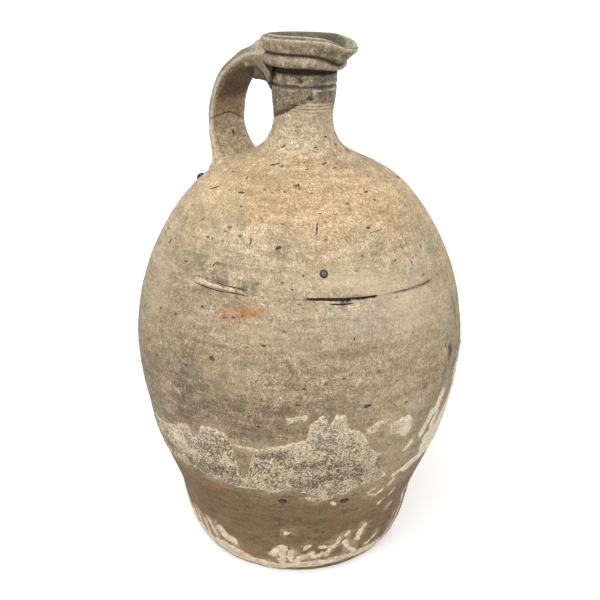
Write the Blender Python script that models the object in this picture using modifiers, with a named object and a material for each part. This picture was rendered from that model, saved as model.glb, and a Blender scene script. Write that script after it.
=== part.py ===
"""Salt-buff stoneware jug: two thrown halves, a collared mouth with a pouring lip and a pulled strap handle.

Every piece is a separate lump of clay, and thin rings and pads of slip lute them together, as a potter joins
them. Units are metres and +Z is up. The origin is the centre of the flat underside, the pouring lip is at +X
and the handle is at -X.
"""

import math

import bmesh
import bpy
from mathutils import Vector

# Driving dimensions
HEIGHT = 0.400  # underside to the top of the rim
SEAM_Z = 0.2482  # where the two thrown halves meet
SEAM_LIFT = 0.0029  # the joint is this much higher on one side than its mean, and as much lower opposite
SEAM_HIGH_SIDE = math.radians(205)  # direction of the high side, anticlockwise from +X
SEAM_FADE = 0.042  # the lift dies away over this height above and below the joint
SEAM_BEVEL = 0.0032  # the joint face rises this much from the outer skin to the inner one
FLOOR = 0.012
NECK_TOP = 0.3750
SLIP = 0.0012  # thickness of the slip in a joint
GAP = 0.0003  # clearance on each side of the slip
ROUND_STEPS = 48

# Outer skin of the thrown body: (height, radius), joined by a smooth curve
SKIN = (
    (0.0000, 0.0840),
    (0.0050, 0.0876),
    (0.0140, 0.0918),
    (0.0280, 0.0955),
    (0.0440, 0.0982),
    (0.0620, 0.1030),
    (0.0900, 0.1128),
    (0.1200, 0.1210),
    (0.1500, 0.1258),
    (0.1780, 0.1276),
    (0.2100, 0.1238),
    (0.2400, 0.1147),
    (0.2700, 0.0990),
    (0.2920, 0.0822),
    (0.3000, 0.0730),
    (0.3070, 0.0620),
    (0.3130, 0.0496),
    (0.3190, 0.0373),
    (0.3250, 0.0291),
    (0.3310, 0.0250),
    (0.3380, 0.0223),
    (0.3460, 0.0212),
    (0.3550, 0.0217),
    (0.3700, 0.0229),
    (NECK_TOP, 0.0232),
)
WALL = ((0.03, 0.0090), (0.10, 0.0076), (0.28, 0.0070), (0.33, 0.0062), (NECK_TOP, 0.0062))

# Heights at which the walls are sampled
LOWER_ROWS = (0.002, 0.005, 0.010, 0.018, 0.028, 0.044, 0.062, 0.080, 0.100, 0.120, 0.140, 0.160, 0.180)
LOWER_ROWS += (0.200, 0.218, 0.234)
LOWER_INNER_ROWS = (0.045, 0.065, 0.090, 0.120, 0.150, 0.180, 0.210, 0.232)
UPPER_ROWS = (0.262, 0.274, 0.285, 0.294, 0.301, 0.307, 0.312, 0.316, 0.320, 0.324, 0.329, 0.335, 0.342)
UPPER_ROWS += (0.350, 0.359)
UPPER_INNER_ROWS = (0.262, 0.274, 0.285, 0.294, 0.301, 0.307, 0.313, 0.320, 0.328, 0.340, 0.360)

# Turned groove round the neck
NECK_GROOVE_Z = 0.3680
NECK_GROOVE_DEPTH = 0.0007
NECK_GROOVE_HALF = 0.0013

# Collar: a round bead, a groove and an upright band that rolls over into the lip
COLLAR_FOOT_Z = NECK_TOP + SLIP + 2 * GAP
BORE = 0.0172  # bore radius at the foot of the collar
BEAD_R = 0.0300
BEAD_Z = 0.3853
BEAD_ROUND = 0.0036
COLLAR_GROOVE_R = 0.0279
COLLAR_GROOVE_Z = 0.3898
BAND_R = 0.0296
LIP_ROUND = 0.0026

# Pouring lip, pulled out and down by a finger
LIP_REACH = 0.0142
LIP_DROP = 0.0050
LIP_SPREAD = math.radians(34)
LIP_START_Z = 0.3769

# Handle: (distance from the axis, height, half thickness, half width) along its middle line
STRAP = (
    (0.0190, 0.3800, 0.0125, 0.0210),
    (0.0265, 0.3815, 0.0105, 0.0205),
    (0.0340, 0.3822, 0.0080, 0.0198),
    (0.0418, 0.3797, 0.0063, 0.0194),
    (0.0494, 0.3750, 0.0057, 0.0192),
    (0.0568, 0.3682, 0.0053, 0.0190),
    (0.0637, 0.3596, 0.0050, 0.0190),
    (0.0686, 0.3496, 0.0049, 0.0190),
    (0.0711, 0.3388, 0.0049, 0.0190),
    (0.0718, 0.3290, 0.0050, 0.0192),
    (0.0702, 0.3200, 0.0059, 0.0196),
    (0.0672, 0.3120, 0.0085, 0.0204),
    (0.0650, 0.3040, 0.0115, 0.0212),
    (0.0645, 0.2960, 0.0125, 0.0216),
)
STRAP_SQUARENESS = 3.0  # exponent of the superellipse that the strap's section follows
STRAP_SIDES = 24
PAD_SPREAD = 1.05  # a slip pad is squeezed out this much wider than the strap
TOP_PAD_STATIONS = 4
FOOT_PAD_STATIONS = 4

# Clay and slip: name, base colour, roughness, metallic
BUFF = ("buff_stoneware", (0.56, 0.43, 0.28, 1.0), 0.75, 0.0)
FOOT_BROWN = ("toasted_stoneware", (0.42, 0.33, 0.22, 1.0), 0.78, 0.0)
ASH_GLAZE = ("ash_glazed_stoneware", (0.33, 0.28, 0.20, 1.0), 0.32, 0.0)
JOINT_SLIP = ("joint_slip", (0.62, 0.53, 0.38, 1.0), 0.85, 0.0)


def clear_scene():
    for obj in list(bpy.data.objects):
        bpy.data.objects.remove(obj)


def new_collection(name, hidden=False):
    made = bpy.data.collections.new(name)
    made.hide_render = hidden
    bpy.context.scene.collection.children.link(made)
    return made


def new_material(name, colour, roughness, metallic):
    material = bpy.data.materials.get(name)
    if material:
        return material
    material = bpy.data.materials.new(name)
    material.use_nodes = True
    shader = material.node_tree.nodes["Principled BSDF"]
    shader.inputs["Base Color"].default_value = colour
    shader.inputs["Roughness"].default_value = roughness
    shader.inputs["Metallic"].default_value = metallic
    return material


def smooth_value(stations, x):
    """Value at x of the monotone cubic through (x, value) stations, which doesn't overshoot them."""
    xs = [s[0] for s in stations]
    ys = [s[1] for s in stations]
    if x <= xs[0]:
        return ys[0]
    if x >= xs[-1]:
        return ys[-1]
    rises = [(ys[i + 1] - ys[i]) / (xs[i + 1] - xs[i]) for i in range(len(xs) - 1)]

    def slope(i):
        if i == 0 or i == len(xs) - 1:
            return rises[0] if i == 0 else rises[-1]
        before, after = rises[i - 1], rises[i]
        return 0.0 if before * after <= 0 else 2 * before * after / (before + after)

    i = max(k for k in range(len(xs) - 1) if xs[k] <= x)
    width = xs[i + 1] - xs[i]
    t = (x - xs[i]) / width
    return (
        (2 * t**3 - 3 * t**2 + 1) * ys[i]
        + (t**3 - 2 * t**2 + t) * width * slope(i)
        + (3 * t**2 - 2 * t**3) * ys[i + 1]
        + (t**3 - t**2) * width * slope(i + 1)
    )


def skin_point(z, outward=0.0):
    """(radius, height) of the outer skin at height z, moved outward along its normal."""
    step = 0.0004
    low, high = max(z - step, 0.0), min(z + step, NECK_TOP)
    rise = Vector((smooth_value(SKIN, high) - smooth_value(SKIN, low), high - low)).normalized()
    return smooth_value(SKIN, z) + rise.y * outward, z - rise.x * outward


def inner_point(z):
    """(radius, height) of the inner skin behind the outer skin's point at height z."""
    return skin_point(z, -smooth_value(WALL, z))


def joint_ends(z):
    """Outer and inner ends of a bevelled joint face that leaves the outer skin at height z."""
    outer = skin_point(z)
    inner = inner_point(z)
    return outer, (inner[0], inner[1] + SEAM_BEVEL)


def arc(centre, radius, start, end, steps):
    """Points (radius, height) on an arc in the profile plane; angles in degrees from outward, anticlockwise."""
    angles = [math.radians(start + (end - start) * i / steps) for i in range(steps + 1)]
    return [(centre[0] + radius * math.cos(a), centre[1] + radius * math.sin(a)) for a in angles]


def turned(name, profile, closed):
    """Mesh object made by turning a profile of (radius, height) points about Z. Its outer side runs downwards."""
    mesh = bpy.data.meshes.new(name)
    edges = [(i, i + 1) for i in range(len(profile) - 1)]
    if closed:
        edges.append((len(profile) - 1, 0))
    mesh.from_pydata([(r, 0.0, z) for r, z in profile], edges, [])
    obj = bpy.data.objects.new(name, mesh)
    bpy.context.scene.collection.objects.link(obj)
    screw = obj.modifiers.new("turn", "SCREW")
    screw.axis = "Z"
    screw.steps = screw.render_steps = ROUND_STEPS
    screw.use_merge_vertices = True
    screw.merge_threshold = 0.00002
    bpy.context.view_layer.update()
    evaluated = obj.evaluated_get(bpy.context.evaluated_depsgraph_get())
    obj.data = bpy.data.meshes.new_from_object(evaluated)
    obj.modifiers.clear()
    return obj


def finish_piece(obj, collection, finish):
    """Puts a piece in its collection, gives it its material and smooths its round faces."""
    for owner in list(obj.users_collection):
        owner.objects.unlink(obj)
    collection.objects.link(obj)
    obj.data.materials.clear()
    obj.data.materials.append(new_material(*finish))
    obj.data.shade_smooth()
    obj.data.set_sharp_from_angle(angle=math.radians(40))
    return obj


def tilt_seam(obj):
    """Lifts the joint on one side and lowers it on the other, as the hand-levelled rims leave it."""
    for vertex in obj.data.vertices:
        x, y, z = vertex.co
        away = min(abs(z - SEAM_Z) / SEAM_FADE, 1.0)
        fade = 0.5 + 0.5 * math.cos(math.pi * away)
        lift = SEAM_LIFT * math.cos(math.atan2(y, x) - SEAM_HIGH_SIDE) * fade
        reach = min(math.hypot(x, y) / 0.09, 1.0)
        vertex.co.z = z + lift * reach


def pull_lip(obj):
    """Draws the mouth out and down at +X into a pouring lip."""
    for vertex in obj.data.vertices:
        x, y, z = vertex.co
        share = min(max((z - LIP_START_Z) / (HEIGHT - LIP_START_Z), 0.0), 1.0)
        near = math.exp(-((abs(math.atan2(y, x)) / LIP_SPREAD) ** 1.7))
        pull = 1 + LIP_REACH * near * share**1.6 / math.hypot(x, y)
        drop = LIP_DROP * near * min(share * 1.8, 1.0)
        pinch = 1 - 0.35 * near * share
        vertex.co = (x * pull, y * pull * pinch, z - drop)


def make_lower_body():
    """Thrown floor and lower wall, up to the bevelled rim of the joint."""
    outer_end, inner_end = joint_ends(SEAM_Z - SLIP / 2 - GAP)
    floor = [(0.0, FLOOR), (0.058, FLOOR), (0.0705, 0.0150), (0.0790, 0.0220), (0.0845, 0.0320)]
    inside = [inner_point(z) for z in LOWER_INNER_ROWS]
    outside = [skin_point(z) for z in reversed(LOWER_ROWS)]
    underside = [(0.0825, 0.0), (0.0, 0.0)]
    obj = turned("lower_body", floor + inside + [inner_end, outer_end] + outside + underside, closed=False)
    tilt_seam(obj)
    return obj


def make_belly_slip():
    """Ring of slip between the two bevelled rims."""
    low_out, low_in = joint_ends(SEAM_Z - SLIP / 2)
    high_out, high_in = joint_ends(SEAM_Z + SLIP / 2)
    obj = turned("belly_slip", [low_in, high_in, high_out, low_out], closed=True)
    tilt_seam(obj)
    return obj


def neck_groove():
    """Outer points of the turned groove round the neck, from the top down."""
    top = skin_point(NECK_GROOVE_Z + NECK_GROOVE_HALF)
    deepest = skin_point(NECK_GROOVE_Z, -NECK_GROOVE_DEPTH)
    bottom = skin_point(NECK_GROOVE_Z - NECK_GROOVE_HALF)
    return [top, deepest, bottom]


def make_upper_body():
    """Thrown shoulder and neck, standing on the joint."""
    outer_end, inner_end = joint_ends(SEAM_Z + SLIP / 2 + GAP)
    inside = [inner_point(z) for z in UPPER_INNER_ROWS]
    top = [(BORE, NECK_TOP), skin_point(NECK_TOP)]
    outside = neck_groove() + [skin_point(z) for z in reversed(UPPER_ROWS)]
    obj = turned("upper_body", [inner_end] + inside + top + outside + [outer_end], closed=True)
    tilt_seam(obj)
    return obj


def make_collar_slip():
    """Ring of slip between the top of the neck and the collar."""
    low, high = NECK_TOP + GAP, NECK_TOP + GAP + SLIP
    outer = smooth_value(SKIN, NECK_TOP)
    return turned("collar_slip", [(BORE, low), (BORE, high), (outer, high), (outer, low)], closed=True)


def make_collar():
    """Collared mouth: funnel inside, lip on top, then band, groove and bead down the outside."""
    funnel = [(BORE, COLLAR_FOOT_Z), (BORE, 0.3810), (0.0179, 0.3850), (0.0196, 0.3885), (0.0222, 0.3930), (0.0240, 0.3965)]
    lip = arc((BAND_R - LIP_ROUND, HEIGHT - LIP_ROUND), LIP_ROUND, 150, 0, 5)
    band = [(BAND_R, 0.3935), (BAND_R - 0.0004, 0.3912)]
    groove = [(COLLAR_GROOVE_R, COLLAR_GROOVE_Z)]
    bead = arc((BEAD_R - BEAD_ROUND, BEAD_Z), BEAD_ROUND, 58, -72, 5)
    foot = [(0.0241, 0.3809), (smooth_value(SKIN, NECK_TOP), 0.3790), (smooth_value(SKIN, NECK_TOP), COLLAR_FOOT_Z)]
    obj = turned("collar", funnel + lip + band + groove + bead + foot, closed=True)
    pull_lip(obj)
    return obj


def grown_vessel(name, by, collection):
    """Solid cutter with the vessel's outer shape above the belly, grown by a margin. It fills the collar groove."""
    top = HEIGHT + 0.010
    collar_r = BEAD_R + by
    underside = BEAD_Z - BEAD_ROUND - by
    below = [skin_point(z, by) for z in reversed(UPPER_ROWS + (0.368, 0.3740))]
    profile = [(0.0, top), (collar_r, top), (collar_r, underside + 0.0012), (collar_r - 0.0040, underside)]
    obj = turned(name, profile + below + [(below[-1][0], 0.250), (0.0, 0.250)], closed=False)
    for owner in list(obj.users_collection):
        owner.objects.unlink(obj)
    collection.objects.link(obj)
    obj.hide_render = True
    obj.display_type = "WIRE"
    return obj


def strap_section(half_thick, half_wide):
    """Superellipse of (thickness, width) offsets. The inner face is flatter than the crowned outer one."""
    points = []
    for i in range(STRAP_SIDES):
        angle = 2 * math.pi * i / STRAP_SIDES
        c, s = math.cos(angle), math.sin(angle)
        power = 2 / STRAP_SQUARENESS
        thick = math.copysign(abs(c) ** power, c) * half_thick
        wide = math.copysign(abs(s) ** power, s) * half_wide
        points.append((thick if thick > 0 else thick * 0.92, wide))
    return points


def strap_loft(name, stations, spread=1.0):
    """Loft of strap sections along the handle's middle line, in the plane y = 0 on the -X side."""
    mesh = bpy.data.meshes.new(name)
    shape = bmesh.new()
    rings = []
    for i, (reach, height, half_thick, half_wide) in enumerate(stations):
        before, after = stations[max(i - 1, 0)], stations[min(i + 1, len(stations) - 1)]
        along = Vector((-(after[0] - before[0]), 0.0, after[1] - before[1])).normalized()
        outward = Vector((along.z, 0.0, -along.x))
        centre = Vector((-reach, 0.0, height))
        section = strap_section(half_thick * spread, half_wide * spread)
        rings.append([shape.verts.new(centre + outward * t + Vector((0.0, w, 0.0))) for t, w in section])
    for ring, following in zip(rings, rings[1:]):
        for k in range(STRAP_SIDES):
            n = (k + 1) % STRAP_SIDES
            shape.faces.new((ring[k], ring[n], following[n], following[k]))
    shape.faces.new(rings[0])
    shape.faces.new(rings[-1])
    bmesh.ops.recalc_face_normals(shape, faces=shape.faces)
    shape.to_mesh(mesh)
    shape.free()
    obj = bpy.data.objects.new(name, mesh)
    bpy.context.scene.collection.objects.link(obj)
    return obj


def add_boolean(obj, operation, cutter):
    modifier = obj.modifiers.new(operation.lower(), "BOOLEAN")
    modifier.operation = operation
    modifier.object = cutter
    modifier.solver = "EXACT"


def fine_strap():
    """The strap's stations with one more between each pair, on a smooth line through them."""
    out = []
    for i in range(len(STRAP) - 1):
        a, b, c, d = (STRAP[min(max(k, 0), len(STRAP) - 1)] for k in (i - 1, i, i + 1, i + 2))
        out.append(b)
        out.append(tuple((9 * (q + r) - p - s) / 16 for p, q, r, s in zip(a, b, c, d)))
    return out + [STRAP[-1]]


def make_handle(cutters):
    """Pulled strap, cut back so that each end stops one slip thickness short of the vessel."""
    obj = strap_loft("handle", fine_strap())
    add_boolean(obj, "DIFFERENCE", grown_vessel("cut_handle", SLIP + 2 * GAP, cutters))
    return obj


def make_slip_pad(name, stations, cutters):
    """Pad of slip that fills the strap's outline between the vessel and the end of the handle."""
    obj = strap_loft(name, stations, PAD_SPREAD)
    add_boolean(obj, "INTERSECT", grown_vessel("keep_" + name, SLIP + GAP, cutters))
    add_boolean(obj, "DIFFERENCE", grown_vessel("cut_" + name, GAP, cutters))
    return obj


def main():
    clear_scene()
    jug = new_collection("stoneware_jug")
    cutters = new_collection("cutters", hidden=True)
    finish_piece(make_lower_body(), jug, FOOT_BROWN)
    finish_piece(make_belly_slip(), jug, JOINT_SLIP)
    finish_piece(make_upper_body(), jug, BUFF)
    finish_piece(make_collar_slip(), jug, JOINT_SLIP)
    finish_piece(make_collar(), jug, ASH_GLAZE)
    finish_piece(make_handle(cutters), jug, ASH_GLAZE)
    top_pad = make_slip_pad("handle_top_slip", STRAP[:TOP_PAD_STATIONS], cutters)
    foot_pad = make_slip_pad("handle_foot_slip", STRAP[-FOOT_PAD_STATIONS:], cutters)
    finish_piece(top_pad, jug, JOINT_SLIP)
    finish_piece(foot_pad, jug, JOINT_SLIP)


main()
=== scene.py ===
import math

import bpy
import numpy as np
from mathutils import Matrix, Vector


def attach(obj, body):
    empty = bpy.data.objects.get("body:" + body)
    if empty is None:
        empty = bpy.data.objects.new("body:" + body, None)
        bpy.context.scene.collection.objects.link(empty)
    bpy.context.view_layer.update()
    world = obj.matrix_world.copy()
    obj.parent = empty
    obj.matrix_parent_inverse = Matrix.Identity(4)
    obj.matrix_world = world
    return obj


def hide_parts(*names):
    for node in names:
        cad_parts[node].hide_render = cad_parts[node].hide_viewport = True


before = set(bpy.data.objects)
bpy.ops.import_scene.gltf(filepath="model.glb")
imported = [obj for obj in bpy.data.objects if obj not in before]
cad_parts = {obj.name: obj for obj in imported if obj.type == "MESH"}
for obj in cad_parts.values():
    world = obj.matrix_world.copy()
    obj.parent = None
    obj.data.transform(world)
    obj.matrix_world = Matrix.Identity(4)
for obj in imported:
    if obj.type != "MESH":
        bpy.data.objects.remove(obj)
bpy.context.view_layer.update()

# Lengths below are millimetres and angles are degrees, unless a name says otherwise.
# "Front" angles are measured about the jug's axis, from the direction that faces the viewer, positive to the
# right.
VIEW_TURN = 34.0  # the viewer stands this far round from -Y towards +X
FRONT_TO_X = VIEW_TURN - 90.0  # adds to a front angle to give the angle from +X

# Outer skin of the thrown body as (height, radius), and its wall as (height, thickness)
SKIN = np.array([
    (0, 84.0), (2, 85.6), (9, 89.7), (20, 93.6), (44, 98.2), (50, 99.1), (56, 101.0), (75, 107.4),
    (90, 112.6), (120, 120.9), (165, 127.2), (180, 127.6), (210, 123.8), (225, 120.0), (240, 114.7),
    (270, 99.1), (292, 82.2), (300, 73.3), (307, 62.2), (313, 49.8), (319, 37.4), (325, 29.2), (331, 25.1),
    (338, 22.4), (346, 21.4), (362, 22.7), (384, 23.4),
])  # fmt: skip
WALL = np.array([(0, 9.0), (60, 8.6), (100, 7.6), (280, 7.0), (330, 6.2), (384, 6.2)])
FLOOR = 12.0
SEAM = 248.2  # mean height of the joint between the two thrown halves
SEAM_LIFT = 2.9  # how far its tilt lifts it
SEAM_HIGH = 205.0  # where it is highest, from +X
SEAM_FADE = 42.0  # how far above and below it the rows of the mesh follow its tilt
NECK_GROOVE = 368.3
NECK_TOP = 376.2  # the neck steps in here, under the collar
THREAD_TURN = 2.7  # radians per mm of the fine threads turned into the neck
GLAZE_EDGE = [
    (-180, 352), (-130, 346), (-74, 345), (-42, 349), (-19, 353.5), (-4, 357), (8, 358.5), (28, 358.5),
    (58, 356), (90, 354), (130, 357), (180, 352),
]  # fmt: skip


# ---------------------------------------------------------------- numbers


def smooth_curve(stations):
    """Function for the monotone cubic through (x, value) stations."""
    xs, ys = stations[:, 0], stations[:, 1]
    gaps = np.diff(xs)
    rises = np.diff(ys) / gaps
    slopes = np.concatenate(([rises[0]], np.zeros(len(xs) - 2), [rises[-1]]))
    same = rises[:-1] * rises[1:] > 0
    total = np.where(same, rises[:-1] + rises[1:], 1.0)
    slopes[1:-1] = np.where(same, 2 * rises[:-1] * rises[1:] / total, 0.0)

    def value(x):
        x = np.clip(x, xs[0], xs[-1])
        i = np.clip(np.searchsorted(xs, x, side="right") - 1, 0, len(gaps) - 1)
        t, w = (x - xs[i]) / gaps[i], gaps[i]
        start = (2 * t**3 - 3 * t**2 + 1) * ys[i] + (t**3 - 2 * t**2 + t) * w * slopes[i]
        return start + (3 * t**2 - 2 * t**3) * ys[i + 1] + (t**3 - t**2) * w * slopes[i + 1]

    return value


skin_radius = smooth_curve(SKIN)


def hashed(ix, iy, iz, seed):
    """Random value from -1 to 1 that belongs to a cell."""
    h = (ix * 374761393 + iy * 668265263 + iz * 1440662683 + seed * 974634777) & 0xFFFFFFFF
    h = ((h ^ (h >> 13)) * 1274126177) & 0xFFFFFFFF
    return ((h ^ (h >> 16)) & 0xFFFF) / 32767.5 - 1.0


def noise(points, size, seed):
    """Smooth random values from -1 to 1 at points (..., 3), with features about size across."""
    q = points / size
    cell = np.floor(q).astype(np.int64)
    f = q - cell
    f = f * f * (3 - 2 * f)
    total = 0.0
    for corner in range(8):
        step = np.array([corner & 1, (corner >> 1) & 1, corner >> 2])
        weight = np.prod(np.where(step, f, 1 - f), axis=-1)
        at = cell + step
        total = total + weight * hashed(at[..., 0], at[..., 1], at[..., 2], seed)
    return total


def noises(points, layers):
    """Sum of noise layers, each (amount, size, seed)."""
    return sum(amount * noise(points, size, seed) for amount, size, seed in layers)


def ramp(x, low, high):
    t = np.clip((x - low) / (high - low), 0.0, 1.0)
    return t * t * (3 - 2 * t)


def band_at(x, start, end, soft=2.0):
    return ramp(x, start - soft, start + soft) * (1 - ramp(x, end - soft, end + soft))


def bell(x, centre, half):
    return np.exp(-(((x - centre) / half) ** 2))


def wrapped(angle):
    return (angle + 180.0) % 360.0 - 180.0


def polar(r, angle, z):
    """Points from radius, angle from +X in radians and height."""
    return np.stack(np.broadcast_arrays(r * np.cos(angle), r * np.sin(angle), z), -1)


def bumps(front, z, marks):
    """Sum of bells on the skin. A mark is (strength, front angle, height, half width, half height)."""
    radius, total = skin_radius(z), 0.0
    for strength, centre, height, wide, high in marks:
        across = np.radians(wrapped(front - centre)) * radius
        total = total + strength * np.exp(-((across / wide) ** 2) - ((z - height) / high) ** 2)
    return total


# ---------------------------------------------------------------- skin of the thrown body


def seam_height(front):
    tilt = SEAM_LIFT * np.cos(np.radians(front + FRONT_TO_X - SEAM_HIGH))
    return SEAM + tilt + 0.35 * np.sin(np.radians(front * 5 + 40)) + 0.2 * np.sin(np.radians(front * 13))


def glaze_depth(front, z):
    """Height above the lower edge of the glaze on the neck."""
    return z - np.interp(wrapped(front), *zip(*GLAZE_EDGE))


def thread_wave(front, z):
    return np.sin(THREAD_TURN * z + 0.02 * front)


def relief(front, z):
    """How far the skin stands proud of its turned shape, from throwing rings, lumps and the tool's marks."""
    r = skin_radius(z)
    p = polar(r, np.radians(front + FRONT_TO_X), z)
    calm = 0.35 + 0.65 * ramp(r, 25.0, 60.0)
    wander = noise(p, 55.0, 3)
    rings = 0.11 * np.sin(z / 1.25 + 2.6 * wander) * (0.6 + 0.6 * noise(p, 70.0, 4))
    rings = rings + 0.07 * np.sin(z / 0.52 + 3.1 * noise(p, 90.0, 5))
    lumps = noises(p, [(0.32, 46.0, 6), (0.16, 19.0, 7), (0.09, 7.0, 8)])
    foot = 0.35 * noise(p, 9.0, 9) * (1 - ramp(z, 4.0, 24.0))
    waist = -0.35 * bell(z, 49.0, 2.2)
    tooling = -0.28 * bell(z - 1.5 * wander, 77.0, 1.3) + 0.2 * bell(z, 80.0, 2.0)
    groove = -0.75 * bell(z, NECK_GROOVE, 0.85)
    lips = 0.32 * bell(z, NECK_GROOVE + 2.0, 1.1) + 0.25 * bell(z, NECK_GROOVE - 2.0, 1.1)
    threads = 0.22 * thread_wave(front, z) * band_at(z, 350.5, 357.5, 1.5)
    steps = 0.3 * ramp(glaze_depth(front, z), -0.5, 0.5) - 1.1 * ramp(z, NECK_TOP, NECK_TOP + 1.8)
    return calm * (rings + lumps) + foot + waist + tooling + groove + lips + threads + steps


def skin(front, z, lift=0.0):
    """Points of the outer skin, moved outward by relief and lift."""
    step = 0.5
    slope = (skin_radius(z + step) - skin_radius(z - step)) / (2 * step)
    slope = np.where((z < 1.0) | (z > 382.0), 0.0, slope)  # the ends face straight out
    length = np.sqrt(1 + slope**2)
    out = relief(front, z) + lift
    return polar(skin_radius(z) + out / length, np.radians(front + FRONT_TO_X), z - out * slope / length)


def inner_radius(z):
    return skin_radius(z) - np.interp(z, WALL[:, 0], WALL[:, 1])


# ---------------------------------------------------------------- lime on the lower body

# Edges of the crust as (front angle, height)
CRUST_TOP = [
    (-180, 128), (-150, 118), (-125, 131), (-100, 116), (-80, 116), (-68, 120), (-64, 125), (-58, 126),
    (-54, 130), (-48, 134), (-44, 139), (-39, 142), (-38, 134), (-35, 137), (-33, 147), (-28, 149),
    (-24, 147), (-22, 140), (-21, 126), (-20, 113), (-17, 111), (-16, 119), (-15, 129), (-14, 135),
    (-10, 142), (-4, 144), (1, 148), (3, 150), (4, 161), (6, 166), (8, 170), (9, 166), (10, 161), (12, 169),
    (15, 167), (16, 157), (20, 153), (23, 145), (25, 134), (28, 129), (30, 126), (31, 111), (34, 105),
    (36, 94), (62, 92), (72, 118), (80, 158), (96, 149), (112, 160), (128, 137), (145, 143), (162, 122),
    (180, 128),
]  # fmt: skip
CRUST_FOOT = [
    (-180, 94), (-140, 90), (-110, 96), (-80, 91), (-67, 90), (-53, 95), (-42, 98), (-33, 97), (-24, 93),
    (-15, 97), (-9, 95), (-2, 100), (5, 95), (11, 91), (17, 92), (23, 97), (29, 98), (34, 100), (36, 101),
    (62, 99), (70, 96), (90, 93), (120, 97), (150, 91), (180, 94),
]  # fmt: skip
CRUST_GAPS = [((-18.8, 120), (3.6, 13.0)), ((38, 128), (8.0, 14.0))]  # bare patches: centre, half sizes
# Strokes of lime: half width, then a path of (front angle, height)
CRUST_STROKES = [
    (1.6, (-21, 138), (-17, 137), (-12, 136)), (2.8, (40, 97), (47, 100), (55, 101)),
    (4.6, (46, 99), (54, 101), (62, 105)), (8.0, (55, 112), (60, 113), (72, 116)),
    (5.0, (54, 120), (62, 122), (70, 126)), (8.0, (64, 124), (72, 134), (77, 146)),
    (6.0, (75, 142), (78, 158), (80, 176), (82, 196)), (4.0, (49, 129), (53, 143)),
    (4.3, (56, 143), (59, 156)), (2.8, (56, 129), (58, 139)), (1.7, (41, 121), (44, 126)),
    (2.6, (70, 158), (71, 168)), (6.0, (34, 148), (38, 149)), (5.4, (38, 149), (39, 142)),
    (2.9, (24, 151), (27, 156), (30, 157)), (2.7, (-2, 165), (2, 168)), (1.4, (39, 87), (41, 91)),
    (1.3, (30, 84), (33, 80), (36, 83)), (1.2, (29, 87), (32, 88)), (2.2, (4, 91), (9, 88), (13, 91)),
]  # fmt: skip
FOOT_STROKES = [
    (2.0, (-57, 33), (-56, 24), (-53, 17), (-51, 11)), (1.5, (-50, 31), (-49, 23), (-48, 14)),
    (1.9, (-46, 35), (-44, 29), (-41, 19)), (4.2, (-38, 33), (-35, 28), (-31, 26)),
    (5.6, (-84, 36), (-72, 27), (-60, 16), (-51, 11), (-42, 11), (-35, 10)),
    (3.2, (-72, 38), (-66, 30), (-60, 24)), (4.0, (-78, 14), (-66, 8), (-52, 6)),
    (4.0, (-42, 16), (-32, 15), (-22, 10)), (5.0, (-35, 9), (-26, 9), (-19, 8), (-13, 7)),
    (3.8, (-13, 7), (-6, 8), (3, 11), (13, 11)), (4.0, (13, 11), (22, 12), (30, 12), (38, 12), (49, 10)),
    (3.2, (-10, 24), (-7, 29), (-5, 31)), (2.8, (-6, 26), (-6, 16), (-6, 10)), (2.0, (-2, 27), (-2, 16)),
    (2.6, (0, 15), (4, 21), (8, 25)), (0.9, (4, 29), (7, 34)), (2.4, (9, 21), (13, 23)),
    (1.6, (15, 20), (17, 28), (19, 30)), (1.4, (12, 31), (19, 30)), (1.6, (20, 33), (21, 38)),
    (1.3, (24, 40), (25, 42)), (2.2, (24, 32), (28, 21), (33, 12)), (2.4, (25, 12), (30, 14)),
    (2.0, (31, 31), (32, 39), (34, 44)), (2.6, (46, 12), (42, 8), (37, 8)), (1.4, (38, 20), (43, 26)),
    (1.1, (-4, 48), (-2, 48)), (1.2, (14, 83), (15, 82)),
    (1.7, (62, 56), (64, 38), (62, 27), (58, 18), (54, 11)), (1.0, (38, 66), (41, 69)),
    (1.0, (43, 71), (45, 75)), (1.0, (47, 52), (49, 55)),
]  # fmt: skip


def back_strokes(count, seed):
    """Lime strokes for the part of the foot that faces away from the viewer."""
    rng = np.random.default_rng(seed)
    strokes = []
    for f in np.linspace(72, 290, count):
        z = rng.uniform(4, 26) if rng.random() < 0.7 else rng.uniform(20, 56)
        lean, rise = rng.uniform(-5, 5), rng.uniform(3, 16)
        path = ((f, z), (f + lean * 0.6, z + rise * 0.6), (f + lean, z + rise))
        strokes.append((rng.uniform(1.0, 3.0), *path))
        path = ((f, 4 + 3 * rng.random()), (f + 5, 4 + 3 * rng.random()))
        strokes.append((rng.uniform(1.5, 3.6), *path))
    return strokes


FOOT_STROKES += back_strokes(30, 5)
FAR_OUTSIDE = -60.0  # depth inside a stroke where there is none near


def stroke_depth(front, z, strokes):
    """Depth in mm inside the nearest stroke, negative outside."""
    r = skin_radius(z)
    best = np.full(np.shape(z), FAR_OUTSIDE)
    for half, *path in strokes:
        for (f0, z0), (f1, z1) in zip(path, path[1:]):
            ax, ay = np.radians(wrapped(front - f0)) * r, z - z0
            bx, by = np.radians(f1 - f0) * r, z1 - z0
            t = np.clip((ax * bx + ay * by) / (bx * bx + by * by), 0.0, 1.0)
            best = np.maximum(best, half - np.hypot(ax - t * bx, ay - t * by))
    return best


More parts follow.
